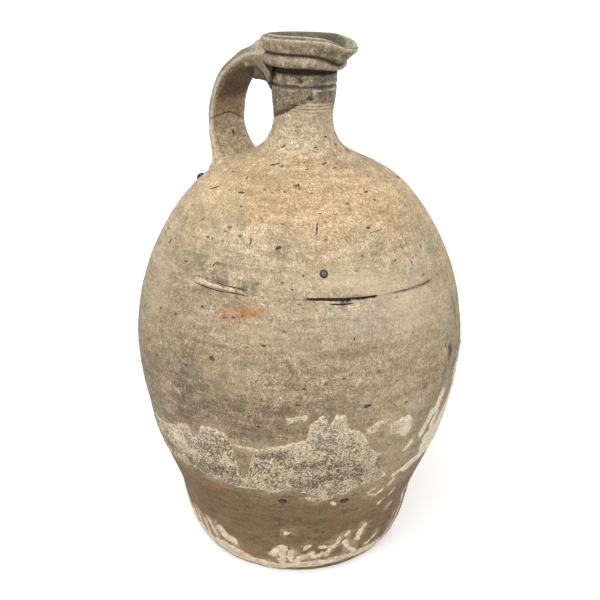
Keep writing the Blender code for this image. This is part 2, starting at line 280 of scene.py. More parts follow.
def crust_depth(front, z):
    """Depth in mm inside the lime crust round the lower belly, negative outside."""
    f = wrapped(front)
    depth = np.minimum(np.interp(f, *zip(*CRUST_TOP)) - z, z - np.interp(f, *zip(*CRUST_FOOT))) * 0.75
    for centre, (half_wide, half_high) in CRUST_GAPS:
        across = np.radians(wrapped(f - centre[0])) * skin_radius(z)
        away = np.hypot(across / half_wide, (z - centre[1]) / half_high)
        depth = np.minimum(depth, (away - 1.0) * min(half_wide, half_high))
    depth = np.maximum(depth, stroke_depth(f, z, CRUST_STROKES))
    p = skin(f, z)
    ragged = noises(p, [(1.1, 7.0, 21), (0.9, 3.1, 22), (0.5, 1.6, 23)])
    patchy = 7.0 * noise(p, 26.0, 24) * ramp(np.abs(f), 76.0, 95.0)
    return depth + ragged + patchy


def foot_lime_depth(front, z):
    ragged = noises(skin(front, z), [(1.2, 5.5, 31), (0.9, 2.4, 32), (0.5, 1.3, 34)])
    return stroke_depth(front, z, FOOT_STROKES) + 0.3 + ragged


# ---------------------------------------------------------------- meshes


def add_values(mesh, fields):
    """Named point values for materials to read."""
    for field, values in fields.items():
        layer = mesh.attributes.new(field, "FLOAT", "POINT")
        layer.data.foreach_set("value", np.asarray(values, np.float32))


def make_object(name, points, faces, uvs, fields):
    """Mesh object from points in mm, faces, one (u, v) per face corner, and named point values."""
    mesh = bpy.data.meshes.new(name)
    mesh.from_pydata((np.asarray(points) * 0.001).tolist(), [], faces)
    layer = mesh.uv_layers.new(name="OFBake")
    layer.data.foreach_set("uv", np.asarray(uvs, np.float32).ravel())
    add_values(mesh, fields)
    mesh.shade_smooth()
    mesh.set_sharp_from_angle(angle=math.radians(50))
    obj = bpy.data.objects.new(name, mesh)
    bpy.context.scene.collection.objects.link(obj)
    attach(obj, "root")
    return obj


def loop_faces(rows, cols, closed):
    """Quads between rows of a grid whose columns run round a loop, with (u, v) per corner."""
    last = rows if closed else rows - 1
    i, j = (index.ravel() for index in np.meshgrid(np.arange(last), np.arange(cols), indexing="ij"))
    n, k = (i + 1) % rows, (j + 1) % cols
    quads = np.stack([i * cols + j, i * cols + k, n * cols + k, n * cols + j], -1)
    u0, u1, v0, v1 = j / cols, (j + 1) / cols, i / last, (i + 1) / last
    corners = [np.stack(pair, -1) for pair in ((u0, v0), (u1, v0), (u1, v1), (u0, v1))]
    return quads, np.stack(corners, 1)


def tube(name, grid, closed=False, capped=False, flip=False, fields=None):
    """Object from a grid (rows, columns, 3). Rows may close into a ring, or end in a cap at each end."""
    rows, cols = grid.shape[:2]
    quads, uv = loop_faces(rows, cols, closed)
    points = grid.reshape(-1, 3)
    if flip:
        quads, uv = quads[:, ::-1], uv[:, ::-1]
    faces, corners = quads.tolist(), uv.reshape(-1, 2).tolist()
    values = {k: list(np.asarray(v).ravel()) for k, v in (fields or {}).items()}
    if capped:
        points = np.concatenate([points, grid[0].mean(0)[None], grid[-1].mean(0)[None]])
        for field in values.values():
            field += [field[0], field[-1]]
        for row, centre, turned in ((0, rows * cols, False), (rows - 1, rows * cols + 1, True)):
            for j in range(cols):
                a, b = row * cols + j, row * cols + (j + 1) % cols
                faces.append([a, b, centre] if turned else [b, a, centre])
                v = row / rows
                corners += [[j / cols, v], [(j + 0.5) / cols, v], [j / cols, v + 0.3 / rows]]
    return make_object(name, points, faces, corners, values)


def share_of(x, ends):
    return (x - ends[0]) / (ends[-1] - ends[0])


def slab(name, front_values, z_values, depth, thick, fields):
    """Crust on the skin: it stands proud by thick where depth is positive, and dips under it elsewhere."""
    front, z = np.meshgrid(front_values, z_values, indexing="ij")
    d = depth(front, z)
    lift = np.where(d < 0, np.maximum(d * 0.6, -0.35), thick(front, z, d))
    top, base = skin(front, z, lift), skin(front, z, np.minimum(lift, 0) - 0.6)
    keep = np.maximum.reduce([d[:-1, :-1], d[1:, :-1], d[1:, 1:], d[:-1, 1:]]) > -0.35
    cols, count = front.shape[1], front.size
    i, j = np.nonzero(keep)
    start = i * cols + j
    quad = np.stack([start, start + cols, start + cols + 1, start + 1], -1)
    faces = [quad, quad[:, ::-1] + count]
    padded = np.pad(keep, 1)
    for di, dj, a, b in ((-1, 0, 0, 3), (1, 0, 2, 1), (0, -1, 1, 0), (0, 1, 3, 2)):
        e = quad[~padded[i + 1 + di, j + 1 + dj]]
        faces.append(np.stack([e[:, a], e[:, b], e[:, b] + count, e[:, a] + count], -1)[:, ::-1])
    faces = np.concatenate(faces)
    u, v = share_of(front, front_values).ravel(), share_of(z, z_values).ravel()
    uv = np.concatenate([np.stack([u, v * 0.9], -1), np.stack([u, 0.92 + v * 0.07], -1)])
    used, packed = np.unique(faces, return_inverse=True)
    points = np.concatenate([top.reshape(-1, 3), base.reshape(-1, 3)])[used]
    values = {k: np.tile(f.ravel(), 2)[used] for k, f in fields(front, z, d).items()}
    return make_object(name, points, packed.reshape(faces.shape).tolist(), uv[faces].reshape(-1, 2), values)


# Section of a raised stroke: shares of its half width and of its height
STROKE_SECTION = [
    (-1.0, -0.5), (-0.92, 0.05), (-0.5, 0.8), (0.0, 1.0), (0.5, 0.8), (0.92, 0.05), (1.0, -0.5), (0.0, -0.9),
]  # fmt: skip
STROKE_SUNK = 0.5  # how deep a share of -1 lies under the skin


def stroke_grid(number, path, half, high):
    """Rings along a thin raised stroke: path of (front angle, height), half width, height above the skin."""
    path = np.asarray(path, float)
    steps, at = np.linspace(0, 1, max(7, 5 * len(path))), np.linspace(0, 1, len(path))
    f, z = np.interp(steps, at, path[:, 0]), np.interp(steps, at, path[:, 1])
    wobble = np.sin(steps * 9 + number * 1.7) * 0.16 + np.sin(steps * 21 + number) * 0.10
    taper = np.sqrt(np.clip(1 - (2 * steps - 1) ** 4, 0, 1))
    wide = half * np.clip(taper * (1 + wobble), 0.08, 2)
    centre = skin(f, z)
    along = np.gradient(centre, axis=0)
    along /= np.linalg.norm(along, axis=1)[:, None]
    normal = skin(f, z, 1.0) - centre
    across = np.cross(normal, along)
    ring = []
    for a, b in STROKE_SECTION:
        rise = b * high * wide / half if b > 0 else np.full(len(f), b * STROKE_SUNK)
        ring.append(centre + across * (a * wide)[:, None] + normal * rise[:, None])
    return np.stack(ring, 1)


def strokes_object(name, strokes):
    """One object from many closed strokes."""
    points, faces, corners, count = [], [], [], 0
    side = math.ceil(math.sqrt(len(strokes)))
    for number, stroke in enumerate(strokes):
        grid = stroke_grid(number, *stroke)
        rows, cols = grid.shape[:2]
        quads, uv = loop_faces(rows, cols, False)
        cell = np.array([number % side, number // side]) / side
        faces += (quads + count).tolist()
        corners += (uv.reshape(-1, 2) * 0.9 / side + cell).tolist()
        ring = np.arange(cols) + count
        faces += [ring[::-1].tolist(), (ring + (rows - 1) * cols).tolist()]
        corners += [(cell + 0.01 / side).tolist()] * (2 * cols)
        points.append(grid.reshape(-1, 3))
        count += rows * cols
    return make_object(name, np.concatenate(points), faces, corners, {})


# ---------------------------------------------------------------- materials

EVEN = (1.0, 1.0, 1.0)


def tone(red, green, blue):
    """Linear colour from 0-255 display values."""
    return tuple((c / 255) ** 2.2 for c in (red, green, blue)) + (1.0,)


class Finish:
    """A node material that is built by calls, each of which returns an output socket."""

    def __init__(self, name):
        self.material = bpy.data.materials.new(name)
        self.material.use_nodes = True
        self.tree = self.material.node_tree
        self.shader = self.tree.nodes["Principled BSDF"]
        self.mm = self.vector("SCALE", self.node("TexCoord").outputs["Object"], scale=1000.0)
        split = self.node("SeparateXYZ")
        self.put(split.inputs[0], self.mm)
        self.z = split.outputs[2]

    def node(self, kind):
        return self.tree.nodes.new("ShaderNode" + kind)

    def put(self, socket, value):
        if isinstance(value, bpy.types.NodeSocket):
            self.tree.links.new(value, socket)
        elif socket.type == "VECTOR":
            socket.default_value = value[:3]
        else:
            socket.default_value = value

    def vector(self, operation, a, b=None, scale=None):
        node = self.node("VectorMath")
        node.operation = operation
        for socket, value in ((0, a), (1, b), ("Scale", scale)):
            if value is not None:
                self.put(node.inputs[socket], value)
        return node.outputs[0]

    def math(self, operation, a, b=0.0, c=0.0):
        node = self.node("Math")
        node.operation = operation
        for socket, value in zip(node.inputs, (a, b, c)):
            self.put(socket, value)
        return node.outputs[0]

    def times(self, a, b):
        return self.math("MULTIPLY", a, b)

    def plus(self, a, b):
        return self.math("ADD", a, b)

    def scaled(self, value, factor, offset):
        return self.math("MULTIPLY_ADD", value, factor, offset)

    def around(self, value, amount):
        """1 where a cloudy value is 0.5, and up to amount more or less away from it."""
        return self.scaled(value, amount * 2, 1.0 - amount)

    def swing(self, value, amount):
        """0 where a value is 0.5, and half the amount more or less at 1 and 0."""
        return self.scaled(value, amount, -amount / 2)

    def up_to(self, most, value, factor=1.0):
        return self.math("MINIMUM", self.times(value, factor), most)

    def step(self, value, low, high):
        """0 at low, 1 at high and smooth between them; low may be above high."""
        node = self.node("MapRange")
        node.interpolation_type = "SMOOTHSTEP"
        if low > high:
            low, high = high, low
            node.inputs["To Min"].default_value, node.inputs["To Max"].default_value = 1.0, 0.0
        self.put(node.inputs["Value"], value)
        node.inputs["From Min"].default_value = low
        node.inputs["From Max"].default_value = high
        return node.outputs["Result"]

    def mix(self, share, a, b):
        node = self.node("Mix")
        node.data_type = "RGBA"
        for socket, value in (("Factor", share), (6, a), (7, b)):
            self.put(node.inputs[socket], value)
        return node.outputs[2]

    def stain(self, colour, where, most, target):
        return self.mix(self.times(where, most), colour, target)

    def blend(self, share, first, second):
        """First value where share is 0 and second where it is 1."""
        return self.plus(self.times(first, self.math("SUBTRACT", 1.0, share)), self.times(second, share))

    def field(self, name):
        node = self.node("Attribute")
        node.attribute_name = name
        return node.outputs["Fac"]

    def texture(self, kind, size, seed, stretch):
        """Texture node whose features are about size mm across."""
        node = self.node(kind)
        moved = self.vector("ADD", self.mm, (seed * 31.7, seed * 17.3, seed * 23.9))
        self.put(node.inputs["Vector"], self.vector("MULTIPLY", moved, tuple(s / size for s in stretch)))
        node.inputs["Scale"].default_value = 1.0
        return node

    def noise(self, size, seed, detail=2.0, rough=0.5, stretch=EVEN):
        """Cloudy values around 0.5."""
        node = self.texture("TexNoise", size, seed, stretch)
        node.inputs["Detail"].default_value = detail
        node.inputs["Roughness"].default_value = rough
        return node.outputs["Fac"]

    def fog(self, low, high, *cloudy):
        """Noise stretched so that low becomes 0 and high becomes 1."""
        return self.step(self.noise(*cloudy), low, high)

    def specks(self, size, seed, radius, share, stretch=EVEN):
        """1 in specks of the given radius (in cells), in about that share of cells."""
        node = self.texture("TexVoronoi", size, seed, stretch)
        split = self.node("SeparateColor")
        self.put(split.inputs[0], node.outputs["Color"])
        chosen = self.step(split.outputs[0], share + 0.02, share - 0.02)
        size_here = self.scaled(split.outputs[1], radius * 0.8, radius * 0.5)
        inside = self.step(self.math("SUBTRACT", size_here, node.outputs["Distance"]), -0.05, 0.09)
        return self.times(inside, chosen)

    def shade(self, colour, factor):
        return self.vector("SCALE", colour, scale=factor)

    def speckle(self, colour, spread):
        """Lighter or darker by a spread about 0. Blue moves most, so that the tint looks the same."""
        factor = self.vector("ADD", self.vector("SCALE", (1.0, 1.15, 1.45), scale=spread), EVEN)
        return self.vector("MULTIPLY", colour, self.vector("MAXIMUM", factor, (0.05, 0.05, 0.05)))

    def bands(self, value, stops):
        node = self.node("ValToRGB")
        elements = node.color_ramp.elements
        while len(elements) < len(stops):
            elements.new(0.5)
        for element, (at, colour) in zip(elements, stops):
            element.position, element.color = at, tone(*colour)
        self.put(node.inputs["Fac"], value)
        return node.outputs["Color"]

    def done(self, colour, rough, height, gloss=0.5):
        """Material from a colour, a roughness and a height in mm."""
        bump = self.node("Bump")
        bump.inputs["Strength"].default_value = 1.0
        bump.inputs["Distance"].default_value = 0.001
        self.put(bump.inputs["Height"], height)
        sockets = ("Base Color", "Roughness", "Specular IOR Level", "Normal")
        for socket, value in zip(sockets, (colour, rough, gloss, bump.outputs[0])):
            self.put(self.shader.inputs[socket], value)
        return self.material


# Colours of the clay by share of 400 mm of height
CLAY_ZONES = [
    (0.00, (125, 102, 73)), (0.19, (121, 97, 67)), (0.235, (128, 107, 78)), (0.30, (139, 123, 99)),
    (0.42, (147, 131, 107)), (0.52, (169, 152, 124)), (0.60, (187, 168, 138)), (0.68, (199, 177, 143)),
    (0.76, (207, 179, 140)), (0.84, (197, 177, 146)), (1.00, (192, 174, 147)),
]  # fmt: skip
# Grain of the clay: how much it varies the tone, then the arguments of Finish.fog
CLAY_GRAIN = {
    "streak": (0.16, 0.36, 0.64, 2.4, 12, 2.0, 0.5, (0.10, 0.10, 1.0)),
    "band": (0.22, 0.34, 0.66, 8.0, 13, 3.0, 0.6, (0.14, 0.14, 1.0)),
    "cloud": (0.26, 0.36, 0.64, 7.0, 15, 4.0, 0.7),
    "dust": (0.46, 0.32, 0.68, 0.7, 17, 1.0, 0.5),
    "grain": (0.46, 0.37, 0.63, 1.15, 18, 2.0, 0.65),
    "sand": (0.32, 0.36, 0.64, 3.0, 21, 4.0, 0.75),
}
GLAZE_TONES = [(0.36, (80, 67, 49)), (0.5, (133, 117, 92)), (0.62, (184, 170, 144))]
# Stains that body_fields places: colour and greatest share
STAINS = {
    "rust": (tone(170, 108, 62), 0.85),
    "pink": (tone(186, 148, 116), 0.50),
    "smoke": (tone(98, 86, 72), 0.70),
    "moss": (tone(140, 136, 106), 0.60),
    "haze": (tone(206, 196, 184), 0.65),
    "cream": (tone(214, 196, 158), 0.55),
    "dust": (tone(190, 170, 140), 0.66),
    "crack": (tone(44, 36, 32), 1.0),
}


def clay_marks(f, colour, above_foot):
    """Colour with pale and dark specks, scratches and scars, and where the clay is pitted."""
    pale = f.specks(2.6, 3, 0.18, 0.34)
    crumbs = f.times(f.specks(4.6, 10, 0.15, 0.7), f.fog(0.40, 0.56, 30.0, 11, 2.0, 0.5))
    scratch = f.specks(12.0, 14, 0.055, 0.8, (0.22, 0.22, 1.3))
    dark = f.specks(2.3, 6, 0.18, 0.42)
    pits = f.specks(8.0, 9, 0.12, 0.85, (0.6, 0.6, 1.0))
    scar = f.specks(17.0, 12, 0.07, 0.6, (0.30, 0.30, 1.0))
    for where, most, target in (
        (pale, f.scaled(above_foot, 0.43, 0.12), tone(232, 214, 184)),
        (crumbs, 0.65, tone(112, 88, 62)),
        (scratch, f.times(f.step(f.z, 225.0, 290.0), 0.55), tone(150, 108, 68)),
        (dark, 0.7, tone(98, 78, 54)),
        (pits, 0.8, tone(74, 58, 42)),
        (scar, 0.6, tone(108, 86, 62)),
    ):
        colour = f.stain(colour, where, most, target)
    return colour, f.math("MAXIMUM", pits, dark)


def bare_clay(f):
    """Colour, roughness and height of the unglazed clay, shared by the body and the lower handle."""
    wander = f.swing(f.noise(42.0, 2, 3.0, 0.6, (0.6, 0.6, 1.2)), 0.075)
    colour = f.bands(f.plus(f.times(f.z, 1 / 400), wander), CLAY_ZONES)
    above_foot = f.step(f.z, 60.0, 120.0)
    warm = f.fog(0.42, 0.66, 30.0, 5, 3.0, 0.6, (0.6, 0.6, 1.6))
    colour = f.stain(colour, f.times(warm, above_foot), 0.17, tone(204, 164, 120))
    drab = f.fog(0.49, 0.64, 21.0, 8, 4.0, 0.7, (0.6, 0.6, 1.5))
    colour = f.stain(colour, drab, 0.144, tone(136, 124, 102))
    calm = f.plus(f.scaled(above_foot, 0.65, 0.65), f.times(f.step(f.z, 185.0, 235.0), -0.35))
    grain = {}
    for name, (amount, *cloudy) in CLAY_GRAIN.items():
        grain[name] = f.fog(*cloudy)
        colour = f.speckle(colour, f.times(f.plus(grain[name], -0.5), f.times(calm, amount)))
    low = f.math("SUBTRACT", 1.0, above_foot)
    smudge = f.fog(0.50, 0.64, 10.0, 25, 4.0, 0.7, (0.6, 0.6, 1.4))
    colour = f.stain(colour, f.times(smudge, low), 0.55, tone(86, 66, 43))
    bloom = f.fog(0.52, 0.64, 8.0, 27, 4.0, 0.7, (0.6, 0.6, 1.4))
    colour = f.stain(colour, f.times(bloom, low), 0.40, tone(152, 124, 92))
    colour, pitted = clay_marks(f, colour, above_foot)
    height = f.plus(f.times(grain["grain"], 0.06), f.times(grain["sand"], 0.08))
    height = f.plus(height, f.times(grain["streak"], 0.05))
    height = f.plus(height, f.times(pitted, -0.22))
    return colour, f.scaled(grain["cloud"], 0.15, 0.62), height


def glaze_coat(f):
    """Colour, roughness and height of the thin ash glaze."""
    cloud = f.times(f.noise(9.0, 41, 5.0, 0.7, (0.8, 0.8, 1.4)), 0.62)
    run = f.times(f.noise(4.0, 42, 3.0, 0.6, (1.0, 1.0, 0.22)), 0.38)
    colour = f.bands(f.plus(f.plus(cloud, run), f.swing(f.noise(17.0, 43), 0.24)), GLAZE_TONES)
    colour = f.stain(colour, f.fog(0.53, 0.66, 10.0, 44, 4.0, 0.65), 0.45, tone(138, 100, 78))
    colour = f.stain(colour, f.fog(0.52, 0.68, 14.0, 47, 3.0, 0.6), 0.35, tone(118, 118, 92))
    grain = f.fog(0.36, 0.64, 0.9, 50, 2.0, 0.7)
    sand = f.fog(0.38, 0.62, 2.4, 53, 4.0, 0.7)
    colour = f.speckle(colour, f.swing(grain, 0.80))
    colour = f.speckle(colour, f.scaled(sand, 0.46, -0.25))
    colour = f.stain(colour, f.specks(2.6, 56, 0.19, 0.5), 0.75, tone(62, 47, 34))
    # Pale specks: painted glints on the glaze
    colour = f.stain(colour, f.specks(2.4, 59, 0.17, 0.35), 0.6, tone(216, 204, 180))
    return colour, f.scaled(sand, 0.22, 0.20), f.plus(f.times(sand, 0.14), f.times(grain, 0.06))


def body_finish():
    """Bare clay with stains, the crack's dirt and the glazed neck, with painted shade and highlights round
    the neck.
    """
    f = Finish("buff_stoneware")
    colour, rough, height = bare_clay(f)
    mottled = f.noise(3.0, 61, 3.0, 0.65)
    for name, (target, most) in STAINS.items():
        amount = f.times(f.field(name), f.scaled(f.step(mottled, 0.36, 0.64), 1.1, 0.45))
        colour = f.mix(f.up_to(most, amount, most), colour, target)
    coat, coat_rough, coat_height = glaze_coat(f)
    depth = f.plus(f.field("glaze"), f.swing(f.noise(4.5, 64, 4.0, 0.7), 7.0))
    covered = f.step(depth, -0.25, 0.35)
    edge = f.times(f.times(f.step(depth, -0.5, 0.3), f.step(depth, 4.6, 0.8)), f.field("edge"))
    coat = f.shade(coat, 0.86)
    # Painted shade: the glaze turns near black in the band under the collar.
    coat = f.stain(coat, f.field("shade"), 0.94, f.shade(tone(48, 38, 29), f.around(mottled, 0.7)))
    colour = f.mix(covered, colour, coat)
    colour = f.stain(colour, edge, 0.9, f.shade(tone(84, 60, 38), f.around(mottled, 0.8)))
    # Painted shade in the thread troughs (ring) and painted highlights on the thread crests (lips)
    colour = f.mix(f.up_to(0.94, f.field("ring"), 1.35), colour, tone(68, 53, 38))
    colour = f.mix(f.up_to(0.8, f.field("lips"), 0.5), colour, tone(218, 207, 182))
    rough = f.blend(covered, rough, f.scaled(f.field("shade"), 0.6, coat_rough))
    height = f.plus(f.blend(covered, height, coat_height), f.times(covered, 0.25))
    return f.done(colour, rough, height)


def crust_finish():
    """Cream lime crust, granular and pitted, with dirt in its hollows, whiter patches and painted light on
    its right side.
    """
    f = Finish("lime_crust")
    dirt, clean = f.field("dirt"), f.field("clean")
    colour = f.mix(f.fog(0.35, 0.65, 6.0, 71, 3.0, 0.6), tone(200, 182, 151), tone(229, 213, 184))
    grain = f.noise(1.1, 74, 3.0, 0.75)
    coarse = f.noise(2.1, 77, 4.0, 0.78)
    both = f.plus(f.times(grain, 0.5), f.times(coarse, 0.5))
    raised = f.plus(f.times(f.step(f.field("depth"), 1.8, 0.4), 0.05), f.times(clean, 0.07))
    patch = f.swing(f.noise(11.0, 78, 3.0, 0.6), 0.22)
    pits = f.step(f.plus(f.scaled(dirt, -0.045, both), f.plus(raised, patch)), 0.485, 0.443)
    colour = f.stain(colour, pits, 0.84, tone(92, 74, 52))
    colour = f.stain(colour, f.times(dirt, f.fog(0.44, 0.60, 4.5, 80, 3.0, 0.7)), 0.40, tone(112, 94, 70))
    # Whiter lime on the left and at the top, and painted light on the right side
    colour = f.stain(colour, clean, 0.62, tone(248, 237, 212))
    colour = f.speckle(colour, f.scaled(f.fog(0.34, 0.66, 0.8, 83, 2.0, 0.6), 0.66, -0.31))
    colour = f.stain(colour, f.specks(2.1, 86, 0.18, 0.5), 0.75, tone(70, 55, 40))
    colour = f.stain(colour, f.specks(5.0, 88, 0.14, 0.5), 0.8, tone(244, 232, 208))
    height = f.plus(f.plus(f.times(grain, 0.55), f.times(coarse, 0.6)), f.times(pits, -0.35))
    return f.done(colour, 0.88, height, gloss=0.25)


def lime_wash_finish():
    """Thin smooth lime on the foot."""
    f = Finish("lime_wash")
    colour = f.mix(f.fog(0.38, 0.62, 5.0, 91, 4.0, 0.7), tone(212, 190, 158), tone(242, 228, 202))
    colour = f.speckle(colour, f.scaled(f.noise(1.3, 94, 3.0, 0.7), 0.7, -0.38))
    thin = f.plus(f.step(f.field("depth"), 1.2, 0.0), f.swing(f.noise(2.2, 95, 3.0, 0.7), 2.4))
    colour = f.stain(colour, f.step(thin, 0.5, 1.4), 0.45, tone(158, 132, 102))
    return f.done(colour, 0.8, f.times(f.noise(1.4, 97, 2.0, 0.6), 0.25), gloss=0.3)


def glazed_finish():
    """Ash glaze with painted highlights on edges and painted shade in recesses, and the handle's bare lower
    part.
    """
    f = Finish("ash_glaze")
    coat, rough, height = glaze_coat(f)
    mottled = f.noise(4.0, 101, 3.0, 0.7)
    umber, dark = f.field("umber"), f.field("shade")
    # pale paints highlights, sheen and reflections on edges, ridges and lit faces, on the bare clay too
    pale = f.math("MINIMUM", f.times(f.field("pale"), f.around(mottled, 0.9)), 1.0)
    grit = f.swing(f.fog(0.34, 0.66, 0.9, 103, 3.0, 0.7), 0.8)
    colour = f.stain(coat, pale, 0.80, f.speckle(tone(214, 201, 177), grit))
    stained = f.times(f.field("stain"), f.step(mottled, 0.35, 0.6))
    colour = f.stain(colour, stained, 0.6, tone(138, 98, 80))
    coarse = f.swing(f.fog(0.36, 0.64, 1.7, 104, 4.0, 0.75), 1.1)
    # umber browns and lightens the strap's inner face, partly painted light that lifts it out of its shade
    colour = f.stain(colour, umber, 0.6, f.speckle(tone(186, 163, 125), coarse))
    rough = f.scaled(f.math("MAXIMUM", umber, dark), 0.5, rough)
    colour = f.stain(colour, f.field("olive"), 0.8, f.shade(tone(108, 107, 84), f.around(mottled, 0.5)))
    # Painted shade in undercuts, grooves, deep in the mouth and on the handle's shaded faces
    colour = f.stain(colour, dark, 0.92, f.shade(tone(52, 41, 30), f.around(mottled, 0.7)))
    bare, bare_rough, bare_height = bare_clay(f)
    bare = f.vector("MULTIPLY", bare, (0.97, 1.05, 1.12))
    bare = f.speckle(bare, f.swing(f.step(mottled, 0.36, 0.64), 0.36))
    bare = f.stain(bare, pale, 0.45, tone(220, 206, 178))
    near = f.plus(f.field("bare"), f.swing(f.noise(4.0, 64, 3.0, 0.6), 3.0))
    share = f.step(near, -0.3, 0.3)
    line = f.times(f.step(near, -1.6, -0.2), f.step(near, 0.5, 0.0))
    colour = f.mix(share, colour, bare)
    colour = f.stain(colour, line, 0.8, tone(76, 58, 40))
    colour = f.mix(f.math("MINIMUM", f.field("fleck"), 0.9), colour, tone(58, 44, 32))
    rough, height = f.blend(share, rough, bare_rough), f.blend(share, height, bare_height)
    return f.done(colour, rough, height, gloss=0.4)


def spot_finish(name, dark, lighter, rough, gloss, patch):
    f = Finish(name)
    colour = f.mix(f.fog(0.35, 0.65, patch, 111, 2.0, 0.6), dark, lighter)
    colour = f.shade(colour, f.around(f.noise(0.7, 114, 1.0, 0.5), 0.5))
    return f.done(colour, rough, f.times(f.noise(0.8, 117, 2.0, 0.6), 0.2), gloss)


def slip_finish():
    f = Finish("joint_slip")
    colour = f.mix(f.fog(0.35, 0.65, 3.0, 121, 3.0, 0.7), tone(200, 184, 152), tone(234, 220, 190))
    colour = f.shade(colour, f.around(f.noise(0.9, 124, 2.0, 0.6), 0.30))
    colour = f.stain(colour, f.specks(2.0, 127, 0.2, 0.5), 0.75, tone(96, 78, 56))
    return f.done(colour, 0.8, f.times(f.noise(1.2, 130, 3.0, 0.7), 0.5))


def bead_finish(name, rings, rough, gloss):
    """Rings of colour from the middle of a bead outward."""
    f = Finish(name)
    out = f.plus(f.field("rim"), f.swing(f.noise(1.2, 141, 2.0, 0.5), 0.3))
    return f.done(f.bands(out, rings), rough, f.times(f.noise(1.0, 144, 2.0, 0.5), 0.15), gloss)


# ---------------------------------------------------------------- thrown body

COLUMNS = 512
FOOT_LIME_TOP = 62.0  # the strokes of lime on the foot end below this
INNER_GLAZE_EDGE = 352.0  # the glaze ends here on the inside of the neck
FRONTS = np.arange(COLUMNS) * 360.0 / COLUMNS - 180.0
AROUND = np.radians(FRONTS + FRONT_TO_X)

# Marks for bumps(), broken up by noise (TORN) or even (SOFT)
TORN = {
    "rust": [(1.1, -22, 235, 11, 4.2), (1.0, -16, 238.5, 10, 3.6)],
    "foot_rust": [(0.25, 24, 62, 22, 7)],
    "smoke": [
        (0.9, -18, 253, 7, 5), (0.75, -36, 264, 16, 10), (0.9, 14, 243.5, 7, 4), (0.55, -8, 276, 6, 6),
        (0.3, 20, 238, 14, 7), (0.35, 52, 246, 14, 7), (0.9, -40, 163, 12, 16), (0.5, -60, 172, 16, 20),
        (1.2, 66, 178, 5, 9), (0.9, 47, 176, 2.2, 3.4), (1.2, 61, 196, 6, 12), (0.4, 21, 213, 16, 7),
        (0.5, 9, 168, 40, 12), (0.35, -10, 150, 18, 7), (0.3, -15, 185, 40, 14), (0.4, -30, 290, 10, 8),
        (0.5, -22, 178, 40, 20), (0.35, -4, 205, 34, 12), (0.8, -30, 248, 16, 8), (0.4, -30, 182, 20, 14),
        (0.4, -2, 224, 10, 7), (0.7, -51, 253, 11, 10), (0.5, 110, 200, 30, 30), (0.5, -140, 150, 40, 30),
    ],
    "moss": [
        (0.8, 62, 262, 16, 30), (0.4, -62, 262, 10, 26), (0.6, -40, 268, 14, 8), (0.9, 68, 205, 6, 16),
        (0.5, -6, 283, 9, 7), (0.5, -26, 178, 12, 7), (0.5, -70, 215, 10, 30), (0.4, 30, 214, 12, 5),
    ],
    "haze": [(0.8, 42, 163, 11, 4), (0.55, -50, 150, 7, 6)],
    # dark streaks near the right edge of the belly
    "dark_streaks": [
        (0.62, 60.5, 190, 4.5, 5), (0.55, 63, 180, 3.5, 9), (0.5, 57, 176, 3, 7), (0.6, 46.5, 175, 2.2, 4),
        (0.5, 69, 216, 1.8, 14), (0.35, 51.5, 182, 1.5, 6),
    ],
}  # fmt: skip
SOFT = {
    "rust": [
        (0.30, -47, 240, 12, 9), (0.5, 150, 210, 30, 12), (0.32, -58, 60, 24, 26), (0.2, -36, 86, 26, 6),
    ],
    "pink": [(0.55, -6, 219, 26, 8), (0.4, 16, 222, 22, 7), (0.8, 35, 122, 17, 8), (0.5, -24, 22, 20, 10)],
    "smoke": [(0.30, -46, 225, 34, 46), (0.35, -50, 55, 36, 26)],
    "haze": [(0.45, 24, 233, 30, 9), (0.3, 48, 250, 18, 12)],
    "cream": [
        (0.8, 16, 260, 26, 7), (0.6, 40, 238, 26, 14), (0.5, -20, 195, 26, 14), (0.5, -12, 226, 20, 7),
        (0.55, 34, 165, 36, 40), (0.5, 36, 100, 40, 30), (0.35, -42, 290, 22, 22), (0.5, 28, 255, 20, 5),
        (0.5, 42, 222, 20, 14), (0.6, 26, 250, 20, 6), (0.4, 60, 215, 16, 30), (0.4, 62, 130, 18, 26),
        (0.5, -60, 235, 14, 22),
    ],
    "wash": [(0.8, -62, 26, 14, 20), (0.6, 58, 30, 12, 22)],
    "crack": [(0.9, 15.5, 246.4, 4.0, 1.3), (0.5, 19, 248.4, 7, 1.0)],
    "ring": [
        (0.5, 17.5, 373.6, 1.4, 4.0), (0.7, -58, 373, 1.2, 5.0), (2.6, -6, 372.3, 1.4, 1.2),
        (2.6, 10.5, 361.2, 1.5, 1.2), (0.3, -38, 366, 1.0, 9.0), (0.35, 34, 363, 3.0, 3.0),
    ],
    "lips": [(1.6, 18, 364.6, 1.0, 2.0), (1.2, -5, 369.5, 0.9, 0.8)],
}  # fmt: skip


# Where the joint across the belly stands open: depth, front angles from and to, softness of its ends
OPEN_JOINT = [(1.5, 3.0, 27.0, 3.0), (0.8, 34.0, 56.0, 3.5), (0.5, -41.0, -18.0, 3.0)]


def seam_shifted(front, z):
    """Heights of a row that belongs at z, carried by the joint's tilt."""
    fade = 0.5 + 0.5 * np.cos(np.pi * np.clip(np.abs(z - SEAM) / SEAM_FADE, 0, 1))
    return z + (seam_height(front) - SEAM) * fade


def joint_groove(front):
    """Depth of the open joint between the two halves."""
    f = wrapped(front)
    p = polar(60, np.radians(f), 0 * f)
    deep = sum(most * band_at(f, start, end, soft) for most, start, end, soft in OPEN_JOINT)
    behind = 0.9 * ramp(noise(p, 9.0, 51), 0.1, 0.6) * ramp(np.abs(f), 60.0, 80.0)
    return 0.04 + 0.08 * band_at(f, -20, 36) + deep + behind


